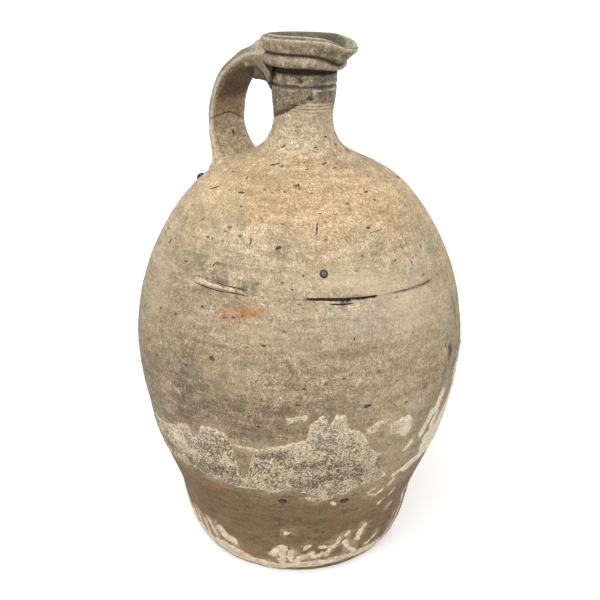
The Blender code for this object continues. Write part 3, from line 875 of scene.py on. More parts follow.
def body_fields(front, z):
    """Stain strengths, glaze depth, and painted light and shade at points of the outer skin."""
    front, z = np.broadcast_arrays(wrapped(front), z)
    p = skin(front, z)
    even = {name: bumps(front, z, marks) for name, marks in SOFT.items()}
    broken = {name: bumps(front, z, marks) for name, marks in TORN.items()}
    torn = np.clip(0.5 + 1.3 * noises(p, [(1, 6.0, 62), (1 / 1.8, 3.0, 73), (1 / 1.8**2, 1.5, 84)]), 0.0, 1.6)
    low = z < FOOT_LIME_TOP
    wash = np.zeros(np.shape(z))
    wash[low] = ramp(stroke_depth(front[low], z[low], FOOT_STROKES), -7.0, -0.3)
    dust = ramp(crust_depth(front, z), -7.0, 0.0) * (0.5 + 0.5 * noise(p, 12.0, 61))
    open_joint = 0.2 * band_at(front, -18, 34) + ramp(joint_groove(front), 0.25, 1.3)
    # ring darkens the groove and, as painted shade, the troughs of the threads; lips lightens the groove's
    # lips and paints highlights on the thread crests
    wave = thread_wave(front, z) * band_at(z, 350.0, 357.5, 1.2) * band_at(front, 0.0, 60.0, 8.0)
    ring = bell(z, NECK_GROOVE, 1.0) * (0.75 + 0.35 * noise(p, 7.0, 63)) + 0.30 * np.maximum(-wave, 0.0) ** 2
    lips = bell(z, NECK_GROOVE - 2.3, 0.7) + 0.6 * bell(z, NECK_GROOVE + 2.4, 0.7)
    near_handle = (1 - ramp(front, -25.0, -5.0)) * ramp(front, -100.0, -80.0)
    return {
        "rust": broken["rust"] * (0.45 + 0.55 * torn) + even["rust"] + broken["foot_rust"] * torn,
        "moss": broken["moss"] * torn + 0.25 * ramp(noise(p, 24.0, 65), 0.1, 0.8),
        "pink": even["pink"],
        "smoke": broken["smoke"] * torn + even["smoke"],
        "haze": broken["haze"] * torn + even["haze"],
        "cream": even["cream"],
        "dust": np.maximum(dust, (wash + even["wash"]) * torn),
        "crack": (1 - ramp(np.abs(z - seam_height(front)), 0.25, 1.1)) * open_joint + even["crack"],
        "glaze": glaze_depth(front, z),
        "ring": ring + even["ring"] + broken["dark_streaks"] * torn,
        "lips": lips * torn + even["lips"] + 1.7 * np.maximum(wave, 0.0) ** 2,
        # painted shade under the collar
        "shade": ramp(z, NECK_TOP - 1.6, NECK_TOP + 1.2),
        "edge": 0.2 + 0.8 * near_handle * (0.5 + 0.8 * torn),
    }


def spaced(*stations):
    """Row heights: (height, spacing) stations, walked with spacing interpolated between them."""
    heights = [stations[0][0]]
    xs, gaps = zip(*stations)
    while heights[-1] < xs[-1]:
        heights.append(heights[-1] + float(np.interp(heights[-1], xs, gaps)))
    return np.array(heights[:-1])


def half_body(name, outer_z, inner_z, joint_rows, before, after, **kind):
    """One thrown half: rows up the inner skin, then down the outer skin, with the joint's groove cut in."""
    front, z = np.meshgrid(FRONTS, outer_z)
    z = seam_shifted(front, z)
    outer = skin(front, z)
    groove = joint_groove(FRONTS)
    for row, share in zip(joint_rows, (1.0, 0.5)):
        reach = np.linalg.norm(outer[row, :, :2], axis=-1)
        outer[row, :, :2] *= (1 - groove * share / reach)[:, None]
    levels = [seam_shifted(FRONTS, np.full(COLUMNS, height)) for height in inner_z]
    inner = [polar(inner_radius(level), AROUND, level) for level in levels]
    first = [polar(r, AROUND, height) for r, height in before] + inner
    grid = np.concatenate([np.array(first), outer] + [polar(r, AROUND, height)[None] for r, height in after])
    fields = {}
    for field, values in body_fields(front, z).items():
        full = grid[..., 2] - INNER_GLAZE_EDGE if field == "glaze" else np.zeros(grid.shape[:2])
        full[len(first) : len(first) + len(outer_z)] = values
        fields[field] = full
    return tube(name, grid, fields=fields, **kind)


def make_lower_body():
    joint_z = [SEAM - 0.12, SEAM - 0.5, SEAM - 1.0]
    near_z = (SEAM - 1.7) - np.arange(0, 14, 1.4)
    far_z = spaced((0.4, 0.9), (6, 1.2), (20, 1.4), (70, 1.5), (240, 1.62))
    outer_z = np.concatenate([joint_z, near_z, far_z[far_z < near_z[-1] - 1.0][::-1]])
    inner_z = [32, 45, 65, 90, 120, 150, 180, 210, 232, SEAM + 2.8]
    floor = [(0.5, FLOOR), (30, FLOOR), (58, FLOOR), (70, 15), (79, 22)]
    underside = [(82.5, 0.0), (80.0, 0.0), (55.0, 0.3), (30.0, 0.3), (0.5, 0.3)]
    return half_body("thrown_lower_body", outer_z, inner_z, (0, 1), floor, underside, capped=True)


def make_upper_body():
    joint_z = [SEAM + 0.12, SEAM + 0.5, SEAM + 1.0]
    neck_z = [(325, 1.1), (344, 1.0), (349, 0.5), (360, 0.5), (364, 0.45), (372, 0.45), (381, 0.8)]
    outer_z = np.concatenate([joint_z, spaced((SEAM + 1.7, 1.45), (300, 1.4), *neck_z)])[::-1]
    inner_z = [SEAM + 3.1, 262, 274, 285, 294, 301, 307, 313, 320, 328, 340, 352, 366, 381]
    return half_body("thrown_upper_body", outer_z, inner_z, (-1, -2), [], [], closed=True)


def make_belly_slip():
    """Slip in the joint, squeezed out into a pale ridge on the left of the front."""
    sides, height = 10, seam_height(FRONTS)
    waver = 0.75 + 0.25 * np.sin(np.radians(FRONTS * 47)) * np.sin(np.radians(FRONTS * 19 + 50))
    ridge = 0.55 * band_at(FRONTS, -41.5, -19, 2.0) * waver * (1 - 0.45 * ramp(FRONTS, -34, -20))
    behind = 0.5 * ramp(np.sin(np.radians(FRONTS * 3.1 + 70)), 0.75, 0.95) * ramp(np.abs(FRONTS), 75, 95)
    out = np.maximum(ridge, behind)
    half = 0.8 + 2.375 * out
    centre = skin(FRONTS, height + 2.0 * out)
    normal = skin(FRONTS, height, 1.0) - skin(FRONTS, height)
    grid = []
    for a in np.arange(sides) * 2 * math.pi / sides:
        lift = 4.6 * out - 2.6 + 1.3 * math.cos(a) + 0.35 * noise(centre, 2.0, 71)
        grid.append(centre + normal * lift[:, None] + np.array([0, 0, 1.0]) * (half * math.sin(a))[:, None])
    return tube("belly_joint_slip", np.array(grid), closed=True, flip=True)


# ---------------------------------------------------------------- collar

# Section of the mouth, from the bore up the funnel, over the lip and down the outside:
# radius and height away from the pouring lip, radius and height at its tip, paleness (painted highlight),
# shade (painted shade), olive
COLLAR = np.array([
    (16.0, 368.0, 16.0, 368.0, 0.0, 0.9, 1.0), (16.6, 378.0, 16.6, 378.0, 0.0, 0.8, 1.0),
    (18.0, 384.5, 19.0, 383.6, 0.0, 0.6, 1.0), (20.6, 389.5, 25.0, 386.0, 0.0, 0.4, 1.0),
    (23.2, 394.0, 31.5, 389.6, 0.0, 0.25, 1.0), (24.6, 398.0, 37.0, 392.4, 0.05, 0.1, 0.9),
    (25.4, 400.3, 39.3, 394.2, 0.2, 0.0, 0.7), (26.2, 401.0, 40.3, 395.2, 1.0, 0.0, 0.1),
    (27.0, 400.6, 40.9, 395.2, 0.8, 0.0, 0.0), (27.9, 399.6, 41.4, 394.9, 0.05, 0.30, 0.1),
    (28.8, 399.0, 41.8, 394.5, 0.25, 0.0, 0.1), (29.5, 398.5, 42.1, 394.0, 1.0, 0.0, 0.0),
    (29.8, 397.5, 41.9, 393.0, 0.55, 0.0, 0.0), (29.5, 395.4, 40.6, 391.5, 0.12, 0.0, 0.0),
    (29.2, 393.2, 38.2, 389.8, 0.0, 0.05, 0.0), (29.2, 391.6, 34.6, 386.8, 0.15, 0.1, 0.0),
    (28.6, 390.6, 31.4, 384.4, 0.0, 0.6, 0.0), (27.7, 389.8, 29.8, 383.2, 0.0, 1.0, 0.0),
    (28.6, 388.9, 29.7, 382.3, 0.1, 0.5, 0.0), (29.6, 387.8, 30.0, 381.6, 0.25, 0.0, 0.0),
    (30.1, 386.1, 30.2, 380.9, 0.4, 0.0, 0.0), (30.1, 384.3, 30.1, 380.2, 0.2, 0.0, 0.0),
    (29.6, 382.6, 29.4, 379.6, 0.15, 0.1, 0.0), (28.3, 381.4, 28.0, 379.0, 0.0, 0.7, 0.0),
    (25.8, 380.8, 25.8, 378.6, 0.0, 1.0, 0.0), (23.4, 380.6, 23.4, 378.6, 0.0, 1.0, 0.0),
    (21.5, 380.0, 21.5, 378.4, 0.0, 1.0, 0.0), (18.5, 374.0, 18.5, 374.0, 0.0, 1.0, 1.0),
])  # fmt: skip
COLLAR_STEPS = 4  # rows of the mesh from one point of the section to the next
FUNNEL_ROWS = 27  # of which these lie inside the mouth
ALL_GLAZED = -20.0  # mm outside the bare clay
# How far the rim has moved towards the lip's tip, by angle from the lip: outward, and down
LIP_REACH = np.array([
    (-180, 0), (-78, 0), (-62, 0.03), (-34, 0.20), (-16, 0.44), (-8, 0.80), (-2, 1), (2, 1), (8, 0.80),
    (16, 0.63), (30, 0.43), (43, 0.28), (57, 0.08), (76, 0), (180, 0),
])  # fmt: skip
LIP_DROP = np.array([
    (-180, 0), (-66, 0), (-50, 0.05), (-34, 0.17), (-16, 0.68), (-9, 1.10), (-3, 1.12), (3, 1), (9, 0.74),
    (16, 0.62), (30, 0.5), (43, 0.36), (57, 0.14), (78, 0), (180, 0),
])  # fmt: skip


def spline_rows(control, per):
    """Catmull-Rom curve through control rows (n, ...), with per steps between neighbours."""
    rows = []
    n = len(control)
    for i in range(n - 1):
        a, b, c, d = (control[min(max(k, 0), n - 1)] for k in (i - 1, i, i + 1, i + 2))
        square, cube = 2 * a - 5 * b + 4 * c - d, 3 * b - a - 3 * c + d
        rows += [0.5 * (2 * b + (c - a) * t + square * t**2 + cube * t**3) for t in np.arange(per) / per]
    rows.append(control[-1])
    return np.array(rows)


def make_collar():
    columns = 384
    u = np.arange(columns) / columns * 2 * math.pi - math.pi
    angle = u - 0.5 * np.sin(u)  # columns crowd towards the pouring lip
    turn = np.degrees(angle)
    front = turn - FRONT_TO_X
    lip, drop, wide = smooth_curve(LIP_REACH)(turn), smooth_curve(LIP_DROP)(turn), bell(turn, 0, 30.0)
    rows = spline_rows(COLLAR, COLLAR_STEPS)
    grid = []
    for r0, z0, r1, z1, *_ in rows:
        upper = ramp(z0, 389.0, 392.0)
        lower = wide * (1 - upper)
        r, z = r0 + (r1 - r0) * (lip * upper + lower), z0 + (z1 - z0) * (drop * upper + lower)
        p = polar(r, angle, z)
        sway = noises(p, [(0.16, 14.0, 81), (0.10, 5.0, 82), (0.05, 2.4, 83)])
        tilt = 1.1 * np.cos(np.radians(front)) * ramp(z0, 390, 399)  # the rim is higher in front
        z = z + 0.22 * noise(p, 18.0, 84) * ramp(z0, 382, 396) + tilt
        grid.append(polar(r + sway, angle, z))
    grid = np.array(grid)
    height, pale, shade, olive = (np.repeat(rows[:, k][:, None], columns, 1) for k in (1, 4, 5, 6))
    inside = np.repeat((np.arange(len(rows)) < FUNNEL_ROWS)[:, None], columns, 1)
    left = bell(wrapped(front + 32), 0, 22) * bell(height, 394.5, 4.0)
    tip = bell(wrapped(front - 52), 0, 12) * bell(height, 395, 3.5)
    # The inside of the pouring channel gets painted reflection and less painted shade.
    channel = inside * ramp(np.hypot(grid[..., 0], grid[..., 1]), 26.5, 29.5) * (grid[..., 2] > 386)
    none = np.zeros(grid.shape[:2])
    fields = {
        "pale": np.clip(pale + 0.7 * channel, 0, 1), "shade": shade * (1 - 0.8 * channel),
        "olive": olive * (1 - 0.7 * channel), "stain": (left + 0.8 * tip) * (1 - inside),
        "bare": none + ALL_GLAZED, "umber": none, "fleck": none,
    }  # fmt: skip
    return tube("collared_mouth", grid, closed=True, fields=fields)


# ---------------------------------------------------------------- handle

# Reach from the axis and height of the crest line, thickness outside and inside it, half width
STRAP = np.array([
    (18.0, 388.3, 9.0, 17.0, 20.0), (23.5, 388.3, 9.6, 17.0, 20.0), (28.0, 388.0, 9.0, 14.0, 20.0),
    (31.5, 387.3, 6.6, 11.0, 19.8), (36.0, 385.9, 5.3, 8.6, 19.5), (42.0, 383.4, 4.9, 7.0, 19.3),
    (48.5, 379.4, 4.8, 6.2, 19.1), (54.8, 374.2, 5.0, 5.7, 19.0), (60.5, 367.5, 5.4, 5.0, 19.0),
    (65.0, 359.0, 6.2, 3.4, 19.0), (67.8, 349.5, 6.9, 2.0, 19.0), (69.0, 340.0, 7.8, 1.2, 19.0),
    (69.1, 331.5, 8.6, 0.9, 19.2), (67.9, 323.8, 8.9, 0.8, 19.7), (66.0, 317.2, 9.0, 1.4, 20.6),
    (63.8, 311.2, 9.9, 4.4, 21.8), (61.4, 304.0, 13.2, 9.0, 23.4), (61.0, 296.0, 16.0, 15.0, 25.4),
])  # fmt: skip
STRAP_SIDES = 72
# Lines along the strap's back: share of the half width, how proud, width
STRAP_LINES = [(0.80, 0.7, 0.10), (0.60, -0.8, 0.09), (0.2, -0.4, 0.1)]
# Lower edge of the strap's glaze as (across, height)
STRAP_GLAZE_END = [(-19, 337.0), (-8, 339.0), (0, 339.5), (8, 336.5), (14, 333.0), (19, 331.0)]
CREASE = ((28.0, 378.8), (16.0, 368.6))  # where the strap's root meets the neck, as (reach, height)

# Clay smeared over the collar and neck at the top of the handle: closed sections (radius, height) that are
# swept round the jug's axis, half angles (height, degrees) on each side of the handle, and the radius beyond
# which a section keeps its width instead of its angle
RIM_SMEAR = (
    [
        (26.8, 399.2), (29.4, 399.5), (30.6, 398.2), (31.4, 396.0), (32.2, 393.6), (33.4, 391.4),
        (35.6, 389.8), (36.6, 386.0), (34.0, 383.0), (24.0, 383.0), (25.0, 391.0),
    ],
    [(383, 43.0), (390, 42.0), (396, 39.0), (400, 36.0)],
    34.0,
)  # fmt: skip
NECK_PAD = (
    [
        (20.5, 361.5), (23.0, 362.5), (24.6, 364.8), (25.8, 368.0), (27.4, 372.5), (29.0, 377.0),
        (31.0, 382.0), (30.0, 387.0), (21.0, 387.0),
    ],
    [(361, 44.0), (364, 50.0), (369.5, 56.0), (374, 61.0), (378.5, 65.0), (382, 65.0), (387, 44.0)],
    34.0,
)  # fmt: skip
ROOT_BULGE = (
    [
        (20.5, 361.0), (22.5, 363.5), (24.2, 367.0), (27.0, 369.6), (31.0, 370.6), (35.0, 370.0),
        (37.5, 371.5), (40.0, 374.5), (43.0, 377.0), (43.0, 383.0), (21.0, 384.0),
    ],
    [(361, 32.0), (366, 42.0), (369, 46.0), (384, 46.0)],
    28.0,
)  # fmt: skip
BURIED = 24.5  # points of these sections with a smaller radius lie inside the neck


def closed_mesh(grid):
    """Closed mesh (points, faces) from a grid of rings."""
    rows, cols = grid.shape[:2]
    quads, _ = loop_faces(rows, cols, False)
    ends = [list(range(cols))[::-1], list(range((rows - 1) * cols, rows * cols))]
    return grid.reshape(-1, 3), quads.tolist() + ends


def sector(section, spread, fall):
    """Closed mesh of a section swept round the jug's axis about the handle. Its inner points stay buried."""
    section = np.array(section)
    middle = section.mean(0)
    half = np.radians(np.interp(section[:, 1], *zip(*spread))) * np.minimum(1, fall / section[:, 0])
    rows = []
    for t in np.linspace(-1, 1, 33):
        round_off = 0.35 + 0.65 * math.sqrt(max(0.0, 1 - abs(t) ** 12))
        shrunk = middle + (section - middle) * round_off
        r = np.where(section[:, 0] > BURIED, shrunk[:, 0], section[:, 0])
        rows.append(polar(r, math.pi + t * half, shrunk[:, 1]))
    return closed_mesh(np.array(rows))


def signed_power(x, power):
    return np.copysign(np.abs(x) ** power, x)


def strap_mesh(rows, outward):
    """Closed mesh of the pulled strap, with a raised ridge down each edge."""
    a = 2 * math.pi * np.arange(STRAP_SIDES) / STRAP_SIDES
    c, s = np.cos(a), np.sin(a)
    back = c > 0
    across = signed_power(s, 2 / 3.2)
    lines = sum(proud * bell(np.abs(across), at, width) for at, proud, width in STRAP_LINES)
    swell = np.copysign(0.9 * bell(c, 0, 0.17), s)
    grid = []
    for (reach, height, outer, inner, half), (out, up) in zip(rows, outward):
        thick = np.where(back, signed_power(c, 2 / 2.7) * outer + lines, signed_power(c, 2 / 4.6) * inner)
        grid.append(np.stack([-(reach + out * thick), across * half + swell, height + up * thick], -1))
    return closed_mesh(np.array(grid))


def fused(name, parts, voxel, rounds):
    """One closed object from overlapping closed meshes, with the joins softened."""
    points, faces, count = [], [], 0
    for part_points, part_faces in parts:
        points.append(part_points)
        faces += [[k + count for k in face] for face in part_faces]
        count += len(part_points)
    mesh = bpy.data.meshes.new(name)
    mesh.from_pydata((np.concatenate(points) * 0.001).tolist(), [], faces)
    obj = bpy.data.objects.new(name, mesh)
    bpy.context.scene.collection.objects.link(obj)
    remesh = obj.modifiers.new("fuse", "REMESH")
    remesh.mode = "VOXEL"
    remesh.voxel_size = voxel * 0.001
    soften = obj.modifiers.new("soften", "SMOOTH")
    soften.factor, soften.iterations = 0.5, rounds
    depsgraph = bpy.context.evaluated_depsgraph_get()
    obj.data = bpy.data.meshes.new_from_object(obj.evaluated_get(depsgraph))
    obj.modifiers.clear()
    obj.data.name = name
    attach(obj, "root")
    return obj


def mesh_arrays(mesh):
    """Points in mm and normals."""
    points, normals = np.empty(len(mesh.vertices) * 3), np.empty(len(mesh.vertices) * 3)
    mesh.vertices.foreach_get("co", points)
    mesh.vertices.foreach_get("normal", normals)
    return points.reshape(-1, 3) * 1000, normals.reshape(-1, 3)


def strap_position(points, rows, outward):
    """For each point: nearest row of the strap, and how far it lies outside the strap's crest line."""
    flat = np.stack([-points[:, 0], points[:, 2]], -1)
    gap = flat[:, None] - rows[None, :, :2]
    nearest = (gap**2).sum(-1).argmin(1)
    away = gap[np.arange(len(points)), nearest]
    return nearest, (away * outward[nearest]).sum(-1)


def line_distance(x, y, start, end):
    """Distance of points (x, y) from the line between two points."""
    dx, dy = end[0] - start[0], end[1] - start[1]
    t = np.clip(((x - start[0]) * dx + (y - start[1]) * dy) / (dx * dx + dy * dy), 0, 1)
    return np.hypot(x - start[0] - t * dx, y - start[1] - t * dy)


def handle_fields(points, normals, rows, outward):
    """Glaze and stain strengths, painted highlights and painted shade at points of the handle. The viewer
    sees the side where y is negative.
    """
    nearest, off = strap_position(points, rows, outward)
    out, y, z = -points[:, 0], points[:, 1], points[:, 2]
    edge = ramp(np.abs(y), rows[nearest, 4] - 2.5, rows[nearest, 4] - 0.6)
    crest = edge * bell(off, 0, 0.9) * ramp(z, 306, 326)
    facing = normals[:, 0] * outward[nearest, 0] - normals[:, 2] * outward[nearest, 1]
    inner = ramp(facing, 0.15, 0.8)
    smear = ramp(z, 383, 390) * (1 - ramp(np.hypot(out, y), 33.0, 42.0))
    hidden = ramp(z, 345, 356) * (1 - ramp(z, 374, 384)) * ramp(y, -18.6, -17.0) * (1 - ramp(off, -2.5, 0.5))
    crease = bell(line_distance(out, z, *CREASE), 0, 0.9) * (y < -14)
    far_edge = inner * ramp(y, 12.0, 16.5)
    root = ramp(z, 364, 368) * (1 - ramp(z, 377, 381)) * (1 - ramp(y, -17.0, -14.0))
    below = ramp(CREASE[1][1] + (out - CREASE[1][0]) * 0.85 - z, 0.0, 1.6) * (1 - ramp(out, 29.0, 33.0))
    gusset = root * (1 - ramp(out, 26.5, 29.5)) * (1 - below)
    cave = root * ramp(out, 27.0, 31.0) * (1 - ramp(off, -9.0, -5.5))
    inside_top = 0.62 * inner * ramp(z, 336, 342) * ramp(z, 347, 369) * (1 - 0.8 * far_edge)
    overhung = 0.75 * hidden * (1 - gusset)
    lit_outside = 0.22 * (1 - inner) * (1 - root)
    return {
        # pale: painted highlights on the crest and far edge, painted sheen on the smear, painted light on the
        # gusset and the outer faces
        "pale": np.clip(1.6 * crest + 0.45 * smear + 0.9 * far_edge + 0.4 * gusset + lit_outside, 0, 1),
        # shade: painted shade on the inner face, under the near edge, in the crease and in the cave by the
        # root
        "shade": np.maximum.reduce([inside_top, overhung, crease, cave, 0.72 * root * below]),
        "olive": 0.2 * (1 - inner) * ramp(z, 338, 350) * (1 - smear),
        "stain": 0.2 * inner * ramp(z, 338, 345),
        # umber: browner, lighter inner face, partly painted light
        "umber": np.maximum(inner, hidden) * ramp(z, 334, 340),
        "fleck": 1.3 * bell(y, 2.5, 1.4) * bell(z, 324.0, 2.0) * inner,
        "bare": np.interp(y, *zip(*STRAP_GLAZE_END)) - z,
    }


def keep_clear_of_bore(points):
    """Moves points that lie inside the collar's or the neck's wall out to a surface within the wall."""
    r, z = np.hypot(points[:, 0], points[:, 1]), points[:, 2]
    least = np.interp(z, [384, 390, 394, 397, 399.5], [20.0, 23.0, 25.4, 27.0, 28.0])
    least = np.where(z < 330, np.minimum(inner_radius(z) + 2.5, r), least)
    scale = np.where(r < least, least / np.maximum(r, 1e-6), 1.0)
    return points * np.stack([scale, scale, np.ones(len(r))], -1)


def make_handle():
    rows = spline_rows(STRAP, 8)
    along = np.gradient(rows[:, :2], axis=0)
    along /= np.linalg.norm(along, axis=1)[:, None]
    outward = np.stack([-along[:, 1], along[:, 0]], -1)
    parts = [strap_mesh(rows, outward), sector(*RIM_SMEAR), sector(*NECK_PAD), sector(*ROOT_BULGE)]
    obj = fused("pulled_strap_handle", parts, voxel=0.5, rounds=6)
    points, normals = mesh_arrays(obj.data)
    rough = noises(points, [(0.4, 15.0, 91), (0.24, 6.0, 92), (0.10, 2.6, 93)])
    coat = 0.25 * ramp(points[:, 2], 336.5, 338.5)
    points = keep_clear_of_bore(points + normals * (rough + coat)[:, None])
    obj.data.vertices.foreach_set("co", (points * 0.001).ravel())
    add_values(obj.data, handle_fields(points, normals, rows, outward))
    obj.data.shade_smooth()
    return obj


# ---------------------------------------------------------------- small marks

# Burnt specks as (front angle, height, half length, half width, lean)
SPOTS = [
    (-29, 318, 3.4, 1.1, 18), (-59, 301, 3.6, 0.9, 30), (-37, 303, 3.0, 1.0, 5), (-62, 280, 1.6, 0.8, 50),
    (-50, 284, 2.2, 0.6, 55), (-65, 263, 2.0, 1.2, 80), (7, 288, 3.6, 0.7, 80), (24, 319, 2.2, 1.2, 15),
    (-2, 309, 2.0, 0.6, 120), (6, 306, 1.4, 0.9, 0), (41, 304, 1.8, 1.2, 10), (9, 296, 1.3, 0.8, 0),
    (31, 286, 1.6, 1.2, 0), (-34, 262, 2.6, 0.6, 60), (-42, 276, 1.5, 0.9, 20), (-21, 279, 2.2, 0.7, 100),
    (-31, 328, 2.0, 1.0, 45), (20, 328, 1.4, 0.8, 0), (39, 265, 1.2, 0.8, 20), (47, 260, 3.0, 0.6, 95),
    (56, 267, 1.8, 0.8, 70), (-48, 258, 1.3, 0.8, 0), (-9, 277, 2.0, 1.4, 20), (-28, 203, 2.4, 1.7, 160),
    (36, 175, 1.2, 0.9, 0), (22, 173, 2.8, 1.5, 10), (-11, 218, 1.4, 1.0, 0), (45, 173, 1.6, 1.0, 60),
    (-12, 158, 1.5, 1.2, 0), (-41, 174, 1.8, 0.7, 140), (43, 334, 1.2, 0.9, 0), (-22, 233, 1.8, 1.0, 10),
    (-19, 235, 1.2, 0.8, 60), (-55, 222, 1.2, 0.9, 0), (58, 196, 1.8, 1.1, 80), (60, 183, 1.5, 0.9, 70),
    (2, 190, 1.1, 0.8, 0), (14, 196, 1.2, 0.6, 20),
]  # fmt: skip
SPOT_SLIM = 0.85  # of the half widths in SPOTS
SPOT_PROUD = 0.12
# More specks, placed at random: count, ranges of front angle, height, half length, lean and half width, and
# how proud they stand
MORE_SPOTS = [
    (170, (-180, 180), (110, 335), (0.6, 1.5), (0, 180), (0.35, 0.75), 0.08),
    (40, (70, 290), (150, 325), (1.5, 3.5), (-40, 60), (0.6, 1.2), 0.1),
]
# Dirt in cracks, as strokes_object takes it
CRACKS = [
    (((2.5, 248.2), (9, 247.9), (17, 247.6), (22, 247.4), (27.5, 247.2)), 0.42, 0.10),
    (((9, 247.6), (13, 247.2), (18, 247.4)), 0.9, 0.12),
    (((10, 245.0), (14, 244.4), (18.5, 244.3)), 0.6, 0.10),
    (((-41, 248.3), (-36, 247.8), (-32, 247.4), (-29, 247.3), (-23, 248.0), (-18, 247.4)), 0.42, 0.08),
    (((-41, 252.6), (-37, 252.9), (-33, 252.6)), 0.28, 0.06),
    (((-31, 252.2), (-27, 251.4), (-22, 251.3), (-18, 250.6)), 0.34, 0.06),
    (((-62, 379), (-65, 375), (-69, 371), (-72, 368)), 0.8, 0.15),
    (((33, 279), (31, 283), (38, 284)), 0.3, 0.05),
]
# The drips' pale grey middle is a painted highlight.
DRIP_RINGS = [(0.0, (112, 108, 112)), (0.22, (96, 90, 92)), (0.42, (46, 38, 38)), (1.0, (52, 42, 34))]
BLISTER_RINGS = [(0.0, (98, 76, 54)), (0.36, (82, 62, 44)), (0.5, (44, 33, 26)), (0.9, (62, 47, 35))]


def spot_path(f, z, length, lean):
    """Short path through a point of the skin, leaning by degrees from level."""
    df = math.degrees(length * math.cos(math.radians(lean)) / float(skin_radius(z)))
    dz = length * math.sin(math.radians(lean)) * 0.9
    return ((f - df, z - dz), (f, z), (f + df, z + dz))


def make_spots():
    rng = np.random.default_rng(12)
    strokes = []
    for f, z, length, half, lean in SPOTS:
        strokes.append((spot_path(f, z, length, lean), half * SPOT_SLIM, SPOT_PROUD))
    for count, *ranges, proud in MORE_SPOTS:
        for _ in range(count):
            f, z, length, lean, half = (rng.uniform(*ends) for ends in ranges)
            strokes.append((spot_path(f, z, length, lean), half, proud))
    return strokes_object("burnt_specks", strokes)


def dome(name, centre, half_wide, half_high, height):
    """Small glassy bead on the skin, with how far each point is from its middle."""
    rows, cols = 14, 28
    r = float(skin_radius(centre[1]))
    a = np.arange(cols) * 2 * math.pi / cols
    out = (np.arange(rows) + 0.5) / rows
    grid = []
    for t in out:
        spread, lift = math.sin(t * math.pi * 0.62), height * math.cos(t * math.pi * 0.62)
        f = centre[0] + np.degrees(spread * half_wide * np.cos(a) / r)
        grid.append(skin(f, centre[1] + spread * half_high * np.sin(a), lift))
    return tube(name, np.array(grid), capped=True, fields={"rim": np.repeat(out[:, None], cols, 1)})


# ---------------------------------------------------------------- build the object

CRUST_DIRT = [
    (1, -52, 109, 12, 4), (1, -40, 106, 15, 4), (1, -28, 108, 18, 7), (1, 0, 109, 18, 6), (1, 14, 112, 12, 6),
    (1, -7, 134, 7, 4), (1, 21, 112, 9, 5), (1, 10, 150, 9, 6), (1, 6, 126, 20, 5),
]  # fmt: skip
FRONT_HALF, BACK_HALF = np.arange(-88.0, 88.01, 0.40), np.arange(88.0, 272.01, 0.55)
CRUST_ROWS, WASH_ROWS = np.arange(78.0, 178.0, 0.85), np.arange(1.5, 88.0, 0.72)


def crust_thickness(front, z, d):
    rise = 0.55 * ramp(d, 0.0, 1.6) + 0.35 * ramp(d, 2.0, 7.0)
    rough = noises(skin(front, z), [(0.20, 2.4, 25), (0.14, 1.3, 26), (0.25, 8.0, 27)])
    return np.maximum(rise + rough * ramp(d, 0.0, 1.5), 0.06)


def wash_thickness(front, z, d):
    return 0.10 + 0.22 * ramp(d, 0.0, 2.0) + 0.05 * noise(skin(front, z), 3.0, 33)


def crust_fields(front, z, d):
    f = wrapped(front)
    back = ramp(np.abs(f), 70, 90) * ramp(noise(skin(front, z), 14.0, 28), 0.0, 0.6)
    top = 0.3 * ramp(z, 138, 150) * (1 - ramp(np.abs(f), 30, 50))
    left = bumps(front, z, [(0.5, -46, 127, 16, 9)])
    dirt = [bumps(front, z, [mark]) for mark in CRUST_DIRT]
    return {
        "depth": d, "dirt": np.maximum.reduce(dirt + [back]),
        # whiter on the left and at the top; painted light on the right side, fronts 34 to 80
        "clean": np.maximum.reduce([top, left, band_at(f, 34.0, 80.0, 4.0)]),
    }  # fmt: skip


def add(obj, material, slot, *replaced):
    """Gives a piece its material, in place of the CAD nodes that it stands for. Its slot is not used."""
    if replaced:
        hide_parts(*replaced)
    obj.data.materials.clear()
    obj.data.materials.append(material)


clay, crust, wash, glaze = body_finish(), crust_finish(), lime_wash_finish(), glazed_finish()
burnt = spot_finish("burnt_speck", tone(62, 48, 35), tone(122, 94, 64), 0.8, 0.3, 9.0)
dirt = spot_finish("crack_dirt", tone(44, 34, 30), tone(70, 54, 44), 0.85, 0.2, 1.6)
blister = bead_finish("foot_blister", BLISTER_RINGS, 0.6, 0.2)
drip = bead_finish("kiln_drip", DRIP_RINGS, 0.3, 0.5)

add(make_lower_body(), clay, "lower_body", "lower_body")
add(make_upper_body(), clay, "upper_body", "upper_body")
add(make_belly_slip(), slip_finish(), "belly_slip", "belly_slip")
add(make_collar(), glaze, "collar", "collar", "collar_slip")
add(make_handle(), glaze, "handle", "handle", "handle_top_slip", "handle_foot_slip")
for side, fronts in (("front", FRONT_HALF), ("back", BACK_HALF)):
    lime = slab(f"lime_crust_{side}", fronts, CRUST_ROWS, crust_depth, crust_thickness, crust_fields)
    add(lime, crust, "lower_body")
    lime = slab(f"foot_lime_{side}", fronts, WASH_ROWS, foot_lime_depth, wash_thickness, crust_fields)
    add(lime, wash, "lower_body")
add(make_spots(), burnt, "upper_body")
add(strokes_object("clay_cracks", CRACKS), dirt, "belly_slip")
add(dome("foot_blister_left", (-5.0, 87.0), 3.4, 2.3, 0.45), blister, "lower_body")
add(dome("foot_blister_right", (19.0, 84.0), 3.6, 2.4, 0.45), blister, "lower_body")
add(dome("belly_drip", (8.6, 262.9), 2.7, 2.6, 1.5), drip, "upper_body")
add(dome("shoulder_drip", (-100.0, 295.5), 2.6, 2.4, 2.2), drip, "upper_body")


# ---------------------------------------------------------------- stage, lights, camera

